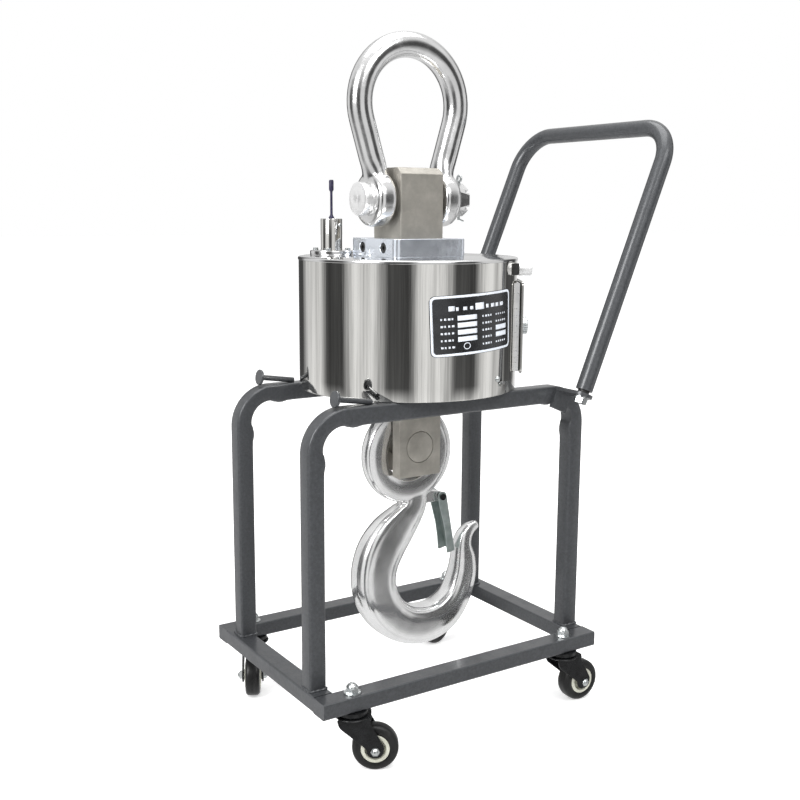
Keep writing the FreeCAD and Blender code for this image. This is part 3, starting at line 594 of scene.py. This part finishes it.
# ---- casters -------------------------------------------------------------------------------------
def casters():
    stems = {j["child"]: Vector(j["pos_m"]) / MM for j in frame["joints"] if j["name"].startswith("swivel_")}
    spins = {j["child"]: j for j in frame["joints"] if j["name"].startswith("spin_")}
    for corner in CORNERS:
        stem = stems["caster_" + corner]
        spin = spins["wheel_" + corner]
        hub = Vector(spin["pos_m"]) / MM
        axis = Vector(spin["axis"])
        way = Vector((axis.y, -axis.x, 0))
        place = Matrix(((way.x, axis.x, 0, stem.x), (way.y, axis.y, 0, stem.y), (0, 0, 1, 0), (0, 0, 0, 1)))
        low, high = limits("caster_fork_" + corner)
        top, gap, sheet, trail = high.z, 14.0, 2.5, (hub - stem).length
        trail = math.hypot(hub.x - stem.x, hub.y - stem.y)
        outline = rounded([(-20.5, top - 2), (-17, top - 14), (trail - 12, hub.z + 2), (trail - 11, hub.z - 10.5),
                           (trail + 10.5, hub.z - 10.5), (trail + 12, hub.z + 5), (24.5, top - 8), (25.5, top - 2)],
                          [3, 12, 5, 9.5, 9.5, 6, 4, 2], 6)
        legs = [prism(outline, s * gap, s * (gap + sheet), "XZ") for s in (-1, 1)]
        crown = lathe([(6.1, top - 3), (17, top - 3), (22.5, top - 3), (23.8, top - 2), (23.6, top - 0.6),
                       (21, top), (6.1, top), (6.1, top - 3)], segments=64)
        deck = prism(rounded([(0, -gap - sheet), (24.5, -gap - sheet), (25.8, -gap), (25.8, gap), (24.5, gap + sheet),
                              (0, gap + sheet)], [0, 2, 2, 2, 2, 0]), top - 3, top - 0.3)
        fork = piece("fork_" + corner, *moved(joined(*legs, crown, deck), place), "caster_" + corner, "black_steel",
                     LOOK["black"], ("caster_fork_" + corner,), smooth=False)
        bevel(fork, 0.9, 3, 40)

        def turned(profile, segments=96):
            return lathe(profile, hub, axis, segments)

        ring = turned([(14.2, -11.2), (14.8, -12), (18.6, -12), (19.4, -11.3), (19.5, -10), (19.5, 10), (19.4, 11.3),
                       (18.6, 12), (14.8, 12), (14.2, 11.2), (13.6, 3.4), (12.8, 2.6), (9.4, 2.6), (8.6, 3.4),
                       (8.4, 12.8), (7.8, 13.5), (4.1, 13.5), (4.1, -13.5), (7.8, -13.5), (8.4, -12.8),
                       (8.6, -3.4), (9.4, -2.6), (12.8, -2.6), (13.6, -3.4), (14.2, -11.2)])
        piece("hub_" + corner, *ring, "wheel_" + corner, "hub_cream", LOOK["cream"], ("caster_hub_" + corner,))
        tyre = turned([(19.5, -10.4), (20.4, -11), (26.6, -10.9), (28.8, -10.2), (30.4, -8.8), (31.2, -6.8), (31.5, -4),
                       (31.5, -0.25), (31.2, 0), (31.5, 0.25), (31.5, 4), (31.2, 6.8), (30.4, 8.8), (28.8, 10.2),
                       (26.6, 10.9), (20.4, 11), (19.5, 10.4), (19.5, -10.4)])
        piece("tyre_" + corner, *tyre, "wheel_" + corner, "tread_black", LOOK["tread"], ("caster_tread_" + corner,))


# ---- housing -------------------------------------------------------------------------------------
def housing():
    low, high = limits("housing_shell")
    radius, wall = high.y, 2.0
    pad_low, pad_high = limits("door_frame")
    port_z = (pad_low.z + 11, pad_high.z - 11)
    half_angle = math.asin(30 / radius)
    around = [half_angle + (2 * math.pi - 2 * half_angle) * k / 300 for k in range(300)]
    around += [2 * math.pi - half_angle + 2 * half_angle * k / 16 for k in range(16)]
    heights = [(low.z, -1.2), (low.z + 0.5, -0.4), (low.z + 1.4, 0)]
    heights += [(z, 0) for z in (low.z + 20, port_z[0])]
    heights += [(port_z[0] + (port_z[1] - port_z[0]) * k / 6, 0) for k in range(1, 7)] + [(high.z, 0)]
    verts, faces = [], []
    n = len(around)
    for z, inset in heights:
        verts += [DOOR_TURN @ Vector(((radius + inset) * math.cos(a), (radius + inset) * math.sin(a), z)) for a in around]
    for i in range(len(heights) - 1):
        for k in range(n):
            if k >= 300 and port_z[0] - 0.01 <= heights[i][0] and heights[i + 1][0] <= port_z[1] + 0.01:
                continue
            a, b = i * n + k, i * n + (k + 1) % n
            faces.append((a, b, b + n, a + n))
    shell = piece("housing_wall", verts, faces, "scale", "mirror_steel", LOOK["mirror"], ("housing_shell",))
    thick = shell.modifiers.new("wall", "SOLIDIFY")
    thick.thickness, thick.offset = wall * MM, -1
    apply_modifiers(shell)
    shell.data.set_sharp_from_angle(angle=math.radians(38))

    low, high = limits("housing_lid")
    r, z0, z1 = high.y, low.z, high.z
    column = 28.0
    lid = lathe([(column, z0), (r - 0.8, z0), (r - 0.1, z0 + 0.6), (r, z0 + 1.5), (r, z1 - 2.2), (r - 0.5, z1 - 1.0),
                 (r - 1.6, z1 - 0.3), (r - 3.2, z1), (column, z1), (column, z0)], segments=300)
    piece("housing_cover", *lid, "scale", "mirror_steel", LOOK["lid"], ("housing_lid",))


PLATE_Z, PLATE_SKEW = 593.0, 2.6


def on_wall(u, z, radius, middle):
    """Point on the round wall, u millimetres along it from the middle of the plate, which sits askew."""
    slant, rise = math.radians(PLATE_SKEW), z - PLATE_Z
    a = middle + (u * math.cos(slant) - rise * math.sin(slant)) / radius
    return Vector((radius * math.cos(a), radius * math.sin(a), PLATE_Z + u * math.sin(slant) + rise * math.cos(slant)))


def wall_patch(outline, radius, middle, thick, step=4.0):
    """Thin patch bent round the wall: an outline in (along, up), filled in columns."""
    xs = sorted({round(p[0], 3) for p in outline})
    low_x, high_x = xs[0], xs[-1]
    columns = [low_x + (high_x - low_x) * k / max(1, int((high_x - low_x) / step)) for k in
               range(max(1, int((high_x - low_x) / step)) + 1)]
    columns = sorted(set(columns) | set(xs))

    def crossing(x):
        zs = []
        for p, q in zip(outline, outline[1:] + outline[:1]):
            x0, x1 = sorted((p[0], q[0]))
            if x0 - 1e-6 <= x <= x1 + 1e-6:
                if abs(q[0] - p[0]) < 1e-6:
                    zs += [p[1], q[1]]
                else:
                    zs.append(p[1] + (q[1] - p[1]) * (x - p[0]) / (q[0] - p[0]))
        return min(zs), max(zs)

    rings = []
    for x in columns:
        z0, z1 = crossing(x)
        rings.append([on_wall(x, z0, radius, middle), on_wall(x, z0, radius + thick, middle),
                      on_wall(x, z1, radius + thick, middle), on_wall(x, z1, radius, middle)])
    return grid(rings)


def strip_loop(outer, inner, radius, middle, thick):
    """Closed frame between two matching outlines, bent round the wall."""
    rings = []
    for p, q in zip(outer, inner):
        rings.append([on_wall(p[0], p[1], radius, middle), on_wall(p[0], p[1], radius + thick, middle),
                      on_wall(q[0], q[1], radius + thick, middle), on_wall(q[0], q[1], radius, middle)])
    rings.append(rings[0])
    return grid(rings, cap=False)


def nameplate():
    base_r = limits("housing_shell")[1].y
    middle = math.radians(-86.8)
    half_w, half_h, mid_z = 72.5, 41.0, PLATE_Z
    thick = 1.0

    def outline(inset, corner, steps=8):
        return [tuple(p) for p in rounded([(-half_w + inset, mid_z - half_h + inset), (half_w - inset, mid_z - half_h + inset),
                                           (half_w - inset, mid_z + half_h - inset), (-half_w + inset, mid_z + half_h - inset)],
                                          corner, steps)]

    def dense(points):
        out = []
        for p, q in zip(points, points[1:] + points[:1]):
            steps = max(1, int(math.hypot(q[0] - p[0], q[1] - p[1]) / 4))
            out += [(p[0] + (q[0] - p[0]) * k / steps, p[1] + (q[1] - p[1]) * k / steps) for k in range(steps)]
        return out

    plate = wall_patch(outline(0, 8), base_r + 0.05, middle, thick)
    piece("rating_plate", *plate, "scale", "plate_black", LOOK["plate"], ("nameplate",))
    face = base_r + thick + 0.06

    def matched(inset, corner):
        pts = outline(inset, corner)
        out = []
        for i, p in enumerate(pts):
            q = pts[(i + 1) % len(pts)]
            steps = 18 if math.hypot(q[0] - p[0], q[1] - p[1]) > 20 else 1
            out += [(p[0] + (q[0] - p[0]) * k / steps, p[1] + (q[1] - p[1]) * k / steps) for k in range(steps)]
        return out

    marks = [strip_loop(matched(0.6, 7.6), matched(3.8, 5.2), face, middle, 0.12)]

    def bar(u, z, width, height):
        marks.append(wall_patch([(u, z), (u + width, z), (u + width, z + height), (u, z + height)], face, middle, 0.12))

    # Placeholder heading and two columns of placeholder entries, with no lettering.
    for k, width in enumerate((9, 4, 6, 5)):
        bar(-46 + 11 * k, mid_z + 20, width, 6.5 if k == 0 else 4.5)
    bar(-4, mid_z + 19, 15, 9)
    for k, width in enumerate((5, 7, 6, 8)):
        bar(15 + 10 * k, mid_z + 20, width, 5)
    for row in range(5):
        z = mid_z + 8 - 9.5 * row
        for k in range(4):
            bar(-58 + 5.4 * k, z, 2.2 + (k * 7 + row * 5) % 3 * 0.8, 2.6)
            bar(8 + 5.2 * k, z, 2.0 + (k * 5 + row * 3) % 3 * 0.8, 2.6)
        if row < 4:
            bar(-33, z - 1.4, 31, 6.4)
        if row in (2, 3):
            bar(35, z - 1.4, 26, 6.4)
        else:
            for k in range(5):
                bar(35 + 5.2 * k, z, 2.0 + (k * 3 + row) % 3 * 0.8, 2.4)
    ring_outer = [(-19 + 5.5 * math.cos(a), mid_z - 28.5 + 4.6 * math.sin(a)) for a in
                  (2 * math.pi * k / 24 for k in range(24))]
    ring_inner = [(-19 + 4.5 * math.cos(a), mid_z - 28.5 + 3.6 * math.sin(a)) for a in
                  (2 * math.pi * k / 24 for k in range(24))]
    marks.append(strip_loop(ring_outer, ring_inner, face, middle, 0.12))
    piece("plate_marks", *joined(*marks), "scale", "plate_black", LOOK["ink"], smooth=False)


def fittings():
    # Battery cover, drawn facing +X and turned to its own direction.
    low, high = limits("door_frame")
    mid_z, half_h = (low.z + high.z) / 2, 66.5
    outline = rounded(rect(-41, 41, mid_z - half_h, mid_z + half_h), 8, 8)
    door = piece("cover_plate", *moved(prism(outline, 162.1, 165.5, "YZ"), DOOR_TURN), "battery_cover", "brushed_steel",
                 LOOK["mirror"], ("battery_door",), smooth=False)
    way = DOOR_TURN @ Vector((1, 0, 0))
    drilled(door, rod(4.1, way * 160 + Vector((0, 0, mid_z)), way, 9))
    bevel(door, 0.8)

    # Charging cap.
    low, high = limits("socket_cap")
    foot = DOOR_TURN @ Vector((156.3, -45, (low.z + high.z) / 2))
    depth = 19.0
    cap = lathe([(6.1, 0), (8.2, 0), (9, 0.8), (9, 4.6), (8.7, 4.9), (8.7, 5.5), (9, 5.8), (9, depth - 1.8), (8.5, depth - 0.6),
                 (7.2, depth), (0, depth)], foot, way, 96)
    piece("charge_cap", *cap, "charging_cap", "brushed_steel", LOOK["ground"], ("socket_cap",))

    # Aerial.
    low, high = limits("antenna_flange")
    foot = ((low.x + high.x) / 2, (low.y + high.y) / 2, low.z)
    thick = high.z - low.z
    disc = lathe([(0, 0.02), (31.4, 0.02), (32, 0.8), (32, thick - 1.4), (31.6, thick - 0.5), (30.6, thick), (17, thick),
                  (16.2, thick - 0.3), (0, thick - 0.3)], foot, segments=128)
    piece("aerial_flange", *disc, "scale", "mirror_steel", LOOK["lid"], ("antenna_flange",))
    low, high = limits("antenna_housing")
    tall = high.z - low.z
    can = lathe([(13, 0), (16, 0), (16, tall - 0.9), (15.7, tall - 0.2), (15.1, tall), (0, tall)],
                (foot[0], foot[1], low.z), segments=128)
    piece("aerial_can", *can, "scale", "mirror_steel", LOOK["mirror"], ("antenna_housing",))
    aim = Vector((0.35, -0.94, 0))
    stud = lathe([(2.6, 14.5), (2.6, 16.6), (2.0, 17.4), (1.2, 17.6), (1.1, 16.6), (0, 16.6)],
                 (foot[0], foot[1], low.z + tall - 9), aim, 24)
    piece("aerial_set_screw", *stud, "scale", "zinc", LOOK["zinc"])
    low, high = limits("antenna_rod")
    tall = high.z - low.z
    stick = lathe([(0, 0.02), (4.4, 0.02), (4.5, 0.6), (3.2, 3), (2.2, 5), (1.9, 6.5), (1.8, 38), (2.2, 39.5), (3.3, 41),
                   (3.45, 42.5), (3.45, tall - 2), (3.1, tall - 0.7), (2.2, tall), (0, tall)], (foot[0], foot[1], low.z), segments=32)
    piece("aerial_rod", *stick, "scale", "aerial_black", LOOK["aerial"], ("antenna_rod",))


# ---- load cell -----------------------------------------------------------------------------------
def load_cell():
    low, high = limits("load_cell")
    half, top = high.x, high.z
    plate_low, plate_high = limits("top_plate")
    seat = plate_high.z - 3
    chamfer = 9.0
    head = prism([(-half, seat), (half, seat), (half, top - chamfer), (half - chamfer, top), (-half + chamfer, top),
                  (-half, top - chamfer)], -half, half, "YZ")
    floor_z = limits("housing_floor")[0].z
    column = rod(27, (0, 0, 474 + 6), (0, 0, 1), seat - 480, 64)
    slot, slot_top = 16.5, 474.0
    yoke = prism([(-half, low.z), (-slot, low.z), (-slot, slot_top), (slot, slot_top), (slot, low.z), (half, low.z),
                  (half, floor_z - 1), (-half, floor_z - 1)], -half, half, "YZ")
    pin = limits("hook_pin")
    pin_z, pin_r = (pin[0].z + pin[1].z) / 2, (pin[1].z - pin[0].z) / 2
    lower = piece("cell_yoke", *yoke, "scale", "nickel", LOOK["nickel"], smooth=False)
    drilled(lower, rod(pin_r + 0.5, (0, -60, pin_z), (0, 1, 0), 120, 96))
    bevel(lower, 0.8)
    upper = piece("cell_head", *head, "scale", "nickel", LOOK["nickel"], ("load_cell",), smooth=False)
    bolt = limits("shackle_bolt")
    bolt_z = (bolt[0].z + bolt[1].z) / 2
    drilled(upper, rod(17.4, (-60, 0, bolt_z), (1, 0, 0), 120, 96))
    bevel(upper, 0.7)
    stem = piece("cell_column", *column, "scale", "nickel", LOOK["nickel"], smooth=False)
    bevel(stem, 0.5)
    face = lathe([(0, 0.0), (pin_r - 1.6, 0.0), (pin_r - 0.3, 0.5), (pin_r, 1.4), (pin_r, 70.6), (pin_r - 0.3, 71.5),
                  (pin_r - 1.6, 72), (0, 72)], (0, -36, pin_z), (0, 1, 0), 96)
    piece("yoke_pin", *face, "scale", "nickel", LOOK["nickel"], ("hook_pin",))

    edge = plate_high.x
    outline = rounded(rect(-edge, edge, -edge, edge), 9, 8)
    slab = piece("clamp_plate", *prism(outline, plate_low.z, plate_high.z), "scale", "brushed_steel", LOOK["plate_steel"],
                 ("top_plate",), smooth=False)
    mid = (plate_low.z + plate_high.z) / 2
    cuts = [block(-half - 0.2, half + 0.2, -half - 0.2, half + 0.2, seat, plate_high.z + 5)]
    for y in (-28, 28):
        cuts.append(rod(7.5, (-edge - 5, y, mid), (1, 0, 0), 11, 40))
        cuts.append(rod(7.5, (edge - 6, y, mid), (1, 0, 0), 11, 40))
    drilled(slab, *cuts)
    bevel(slab, 1.1, 3)


# ---- shackle -------------------------------------------------------------------------------------
def shackle():
    low, high = limits("shackle_bow")
    bar = 18.0
    bow_r = high.x if high.x < 101 else 100.0
    bow_r -= bar
    top_z = high.z - bar
    centre_z = top_z - bow_r
    bolt = limits("shackle_bolt")
    pin_z = (bolt[0].z + bolt[1].z) / 2
    tilt = math.radians(17)
    ear_x = 56.5
    tangent = Vector((bow_r * math.cos(tilt), 0, centre_z - bow_r * math.sin(tilt)))
    down = Vector((-math.sin(tilt), 0, -math.cos(tilt)))
    bend = tangent + down * ((tangent.z - (pin_z + 55)) / math.cos(tilt))
    path = []
    for k in range(7):
        path.append(Vector((ear_x, 0, pin_z - 4 + 30 * k / 6)))
    for k in range(1, 9):
        t = k / 8
        a, b, c = Vector((ear_x, 0, pin_z + 26)), Vector((ear_x, 0, pin_z + 42)), bend
        path.append(a.lerp(b, t).lerp(b.lerp(c, t), t))
    path += [bend.lerp(tangent, k / 8) for k in range(1, 8)]
    for k in range(33):
        a = -tilt + (math.pi + 2 * tilt) * k / 32
        path.append(Vector((bow_r * math.cos(a), 0, centre_z + bow_r * math.sin(a))))
    path += [Vector((-p.x, 0, p.z)) for p in reversed(path[:22])]
    rings = []
    for i, p in enumerate(path):
        ahead = (path[min(i + 1, len(path) - 1)] - path[max(i - 1, 0)]).normalized()
        out = Vector((ahead.z, 0, -ahead.x))
        near = max(0.0, min(1.0, (pin_z + 62 - p.z) / 50))
        near = near * near * (3 - 2 * near)
        wide, flat = bar * (1 + 0.42 * near), bar * (1 - 0.2 * near)
        rings.append([p + out * (flat * math.cos(a)) + Vector((0, 1, 0)) * (wide * math.sin(a))
                      for a in (2 * math.pi * k / 40 for k in range(40))])
    ear_r, inner, outer = 39.0, 42.0, 71.0
    parts = [grid(rings)]
    for side in (-1, 1):
        disc = lathe([(0, 0), (ear_r - 6, 0), (ear_r - 2.6, 1.2), (ear_r - 0.6, 4), (ear_r, 8), (ear_r, 20), (ear_r - 1.2, 24.5),
                      (ear_r - 4.5, 27.8), (ear_r - 9, 29), (0, 29)], (side * inner, 0, pin_z), (side, 0, 0), 64)
        parts.append(disc)
    bow = piece("bow", *joined(*parts), "shackle", "polished_forging", LOOK["forging"], ("shackle_bow",))
    remeshed(bow, 1.6, 8)

    low, high = limits("shackle_bolt")
    head_r = (high.z - low.z) / 2
    head = -outer - low.x
    shaft = lathe([(0, 1.6), (1.2, 1.5), (3.2, 0), (head_r - 2.4, 0), (head_r - 0.7, 0.6), (head_r, 2.2), (head_r, head - 1),
                   (head_r - 0.6, head), (17, head), (17, high.x - low.x - 1.5), (15.5, high.x - low.x), (0, high.x - low.x)],
                  (low.x, 0, pin_z), (1, 0, 0), 96)
    piece("bow_bolt", *shaft, "shackle", "polished_forging", LOOK["ground"], ("shackle_bolt",))


# ---- hook ----------------------------------------------------------------------------------------
STATIONS = (
    (13, 340, 40, 28, -90), (12.5, 322, 41, 28, -91), (11, 306, 43, 30, -99), (-1, 290, 51, 35, -122),
    (-25, 268, 66, 43, -121), (-46, 241, 71, 49, -108), (-58, 206, 67, 52, -92), (-54, 170, 65, 54, -72),
    (-35, 139, 62, 55, -48), (-5, 118, 60, 55, -22), (31, 111, 59, 54, 3), (66, 120, 55, 50, 30),
    (92, 145, 47, 45, 58), (105, 178, 43, 40, 80), (107, 204, 37, 35, 92), (105.5, 225, 27, 29, 84),
    (110, 240, 23, 24, 60), (119, 249, 19, 19, 46), (130, 253.5, 14, 14, 38),
)


def spline(values, t):
    """Catmull-Rom through the stations."""
    i = min(int(t), len(values) - 2)
    f = t - i
    p = [values[max(0, min(len(values) - 1, i + k))] for k in (-1, 0, 1, 2)]
    return 0.5 * (2 * p[1] + (p[2] - p[0]) * f + (2 * p[0] - 5 * p[1] + 4 * p[2] - p[3]) * f * f
                  + (3 * p[1] - p[0] - 3 * p[2] + p[3]) * f ** 3)


def forged_section(width, thick, power, recess, count=56):
    """Section of a drop forging: broad sides sunk a little between two rounded edges."""
    out = []
    for k in range(count):
        a = 2 * math.pi * (k + 0.5) / count
        c, s = math.cos(a), math.sin(a)
        m = (abs(c) ** power + abs(s) ** power) ** (-1 / power)
        u, v = c * m, s * m
        edge = max(0.0, min(1.0, (0.80 - abs(u)) / 0.14))
        edge = edge * edge * (3 - 2 * edge)
        v -= math.copysign(min(abs(v), recess * edge / (thick / 2)), v) * (1 if abs(v) > 0.3 else 0)
        out.append((u * width / 2, v * thick / 2))
    return out


def load_hook():
    low, high = limits("load_hook")
    eye_z = high.z - 76.0
    columns = list(zip(*STATIONS))
    rings = []
    count = 150
    for i in range(count + 1):
        t = (len(STATIONS) - 1) * i / count
        x, z, width, thick, heading = (spline(c, t) for c in columns)
        a = math.radians(heading)
        across = Vector((-math.sin(a), 0, math.cos(a)))
        deep = 2.0 * min(1.0, width / 50) ** 2
        rings.append([Vector((x, 0, z)) + across * u + Vector((0, 1, 0)) * v
                      for u, v in forged_section(width, thick, 3.0, deep)])
    x, z, width, thick, heading = STATIONS[-1]
    a = math.radians(heading)
    nose = Vector((math.cos(a), 0, math.sin(a)))
    for k in range(1, 5):
        f = math.sqrt(1 - (k / 4.6) ** 2)
        centre = Vector((x, 0, z)) + nose * (k * 1.1)
        across = Vector((-math.sin(a), 0, math.cos(a)))
        rings.append([centre + across * (u * f) + Vector((0, 1, 0)) * (v * f)
                      for u, v in forged_section(width, thick, 2.6, 0)])
    ring_r, half_w = 57.0, 19.0
    eye = []
    for k in range(96):
        a = 2 * math.pi * k / 96
        out = Vector((math.cos(a), 0, math.sin(a)))
        eye.append([Vector((0, 0, eye_z)) + out * (ring_r + u) + Vector((0, 1, 0)) * v
                    for u, v in forged_section(2 * half_w, 31, 2.7, 1.6, 48)])
    eye.append(eye[0])
    body = piece("eye_hook", *joined(grid(rings), grid(eye, cap=False)), "hook", "polished_forging", LOOK["satin"],
                 ("load_hook",))
    remeshed(body, 1.25, 6)

    # Latch lug, merged into the shank.
    pivot = Vector(next(j["pos_m"] for j in frame["joints"] if j["name"] == "latch_open")) / MM
    lug = prism(rounded([(20, pivot.z - 8), (pivot.x - 2, pivot.z - 8), (pivot.x + 7, pivot.z - 4), (pivot.x + 7, pivot.z + 5),
                         (pivot.x - 2, pivot.z + 8), (20, pivot.z + 14)], [0, 6, 5, 5, 6, 0]), -6, 6, "XZ")
    bevel(piece("latch_lug", *lug, "hook", "polished_forging", LOOK["satin"], smooth=False), 1.5)

    # Latch: folded channel, two equal cheeks joined by a back web.
    tilt = math.radians(12)
    place = Matrix.Translation(pivot) @ Matrix.Rotation(-tilt, 4, "Y")
    half, sheet = 13.0, 2.0
    wide = [(-8, 8), (8, 8), (7, -30), (5.5, -92), (-9, -92), (-6.5, -70), (-5.5, -45), (-7.5, -15)]
    radii = [7.5, 7.5, 20, 2, 2, 20, 30, 12]
    cheeks = [prism(rounded(wide, radii), s * half, s * (half - sheet), "XZ") for s in (-1, 1)]
    back = block(3.6, 5.6, -half + 0.4, half - 0.4, -92, -12)
    latch = piece("sprung_latch", *moved(joined(*cheeks, back), place), "latch", "zinc", LOOK["pressed"], ("hook_latch",),
                  smooth=False)
    bevel(latch, 0.5, 2)


# ---- scene ---------------------------------------------------------------------------------------
def stage():
    floor = bpy.data.meshes.new("floor")
    size = 30.0
    floor.from_pydata([(-size, -size, 0), (size, -size, 0), (size, size, 0), (-size, size, 0)], [], [(0, 1, 2, 3)])
    obj = bpy.data.objects.new("floor", floor)
    bpy.context.scene.collection.objects.link(obj)
    pale = Look("pale_floor", rough=0.9, Emission_Color=(1, 1, 1, 1), Emission_Strength=0.42)
    pale.colour(pale.noise(2.0, 3), [(0.3, grey(0.93)), (0.7, grey(0.96))])
    floor.materials.append(pale.material)
    obj.visible_glossy = False


def sky():
    """Plain soft studio: bright overhead, pale below, equal panels at eye level."""
    world = bpy.data.worlds.new("studio")
    bpy.context.scene.world = world
    world.use_nodes = True
    tree = world.node_tree
    tree.nodes.clear()
    new, link = tree.nodes.new, tree.links.new

    def math_node(operation, a, b=None):
        node = new("ShaderNodeMath")
        node.operation = operation
        for socket, value in zip(node.inputs, (a, b)):
            if value is None:
                continue
            if isinstance(value, (int, float)):
                socket.default_value = value
            else:
                link(value, socket)
        return node.outputs[0]

    def ramp(source, stops):
        node = new("ShaderNodeValToRGB")
        elements = node.color_ramp.elements
        while len(elements) < len(stops):
            elements.new(0.5)
        for element, (at, value) in zip(elements, stops):
            element.position = at
            element.color = (value, value, value, 1)
        link(source, node.inputs["Fac"])
        return node.outputs["Color"]

    coords = new("ShaderNodeTexCoord")
    split = new("ShaderNodeSeparateXYZ")
    link(coords.outputs["Generated"], split.inputs[0])
    x, y, z = split.outputs
    turn = math_node("DIVIDE", math_node("ARCTAN2", y, x), 2 * math.pi)
    azimuth = math_node("FRACT", math_node("ADD", turn, 1.0))

    # Equal soft panels stand evenly round the object.
    dark, bright, panels = 0.07, 0.72, 5
    across = math_node("FRACT", math_node("MULTIPLY", azimuth, panels))
    around = ramp(across, [(0.0, dark), (0.3, dark), (0.45, bright), (0.85, bright), (1.0, dark)])

    def mix(factor, a, b):
        node = new("ShaderNodeMix")
        node.data_type = "RGBA"
        link(factor, node.inputs["Factor"])
        for socket, value in ((node.inputs[6], a), (node.inputs[7], b)):
            if isinstance(value, float):
                socket.default_value = (value, value, value, 1)
            else:
                link(value, socket)
        return node.outputs[2]

    def between(low, high):
        node = new("ShaderNodeMapRange")
        node.interpolation_type = "SMOOTHSTEP"
        node.inputs["From Min"].default_value, node.inputs["From Max"].default_value = low, high
        link(z, node.inputs["Value"])
        return node.outputs["Result"]

    ring = mix(between(-0.8, -0.1), 0.8, around)
    ring = mix(between(0.15, 0.8), ring, 0.85)
    background = new("ShaderNodeBackground")
    link(ring, background.inputs["Color"])
    background.inputs["Strength"].default_value = 1.0
    white = new("ShaderNodeBackground")
    white.inputs["Color"].default_value = (1, 1, 1, 1)
    white.inputs["Strength"].default_value = 1.0
    chooser, rays, out = new("ShaderNodeMixShader"), new("ShaderNodeLightPath"), new("ShaderNodeOutputWorld")
    link(rays.outputs["Is Camera Ray"], chooser.inputs[0])
    link(background.outputs[0], chooser.inputs[1])
    link(white.outputs[0], chooser.inputs[2])
    link(chooser.outputs[0], out.inputs["Surface"])


def light(name, place, aim, size, power):
    data = bpy.data.lights.new(name, "AREA")
    data.shape, data.size, data.size_y, data.energy = "RECTANGLE", size[0], size[1], power
    obj = bpy.data.objects.new(name, data)
    bpy.context.scene.collection.objects.link(obj)
    obj.location = place
    obj.rotation_euler = (Vector(aim) - Vector(place)).to_track_quat("-Z", "Y").to_euler()


def lights():
    light("key", (-2.6, -0.6, 2.0), (0, 0, 0.45), (1.2, 1.6), 60)
    light("top", (0.2, 0.1, 3.2), (0, 0, 0.4), (2.4, 2.4), 55)
    light("floor_fill", (0, -2.5, 2.6), (0, 0, 0), (2.0, 1.0), 25)


def camera():
    data = bpy.data.cameras.new("camera")
    data.sensor_width = 36.0
    data.lens = 48.66
    data.clip_start, data.clip_end = 0.05, 100
    obj = bpy.data.objects.new("camera", data)
    bpy.context.scene.collection.objects.link(obj)
    bpy.context.scene.camera = obj
    yaw, pitch, roll = 0.5773, 0.1715, 0.0054
    forward = Vector((math.sin(yaw) * math.cos(pitch), math.cos(yaw) * math.cos(pitch), -math.sin(pitch)))
    right = Vector((math.cos(yaw), -math.sin(yaw), 0))
    up = right.cross(forward)
    side = right * math.cos(roll) + up * math.sin(roll)
    up = side.cross(forward)
    turn = Matrix((side, up, -forward)).transposed()
    obj.matrix_world = Matrix.Translation((-0.8756, -1.3251, 0.7400)) @ turn.to_4x4()
    bpy.context.scene.view_settings.view_transform = "Standard"


def main():
    dress_cad()
    side_frame("arch_front", "side_frame_front")
    side_frame("arch_rear", "side_frame_rear")
    welds()
    push_handle()
    casters()
    housing()
    nameplate()
    fittings()
    load_cell()
    shackle()
    load_hook()
    stage()
    sky()
    lights()
    camera()


main()
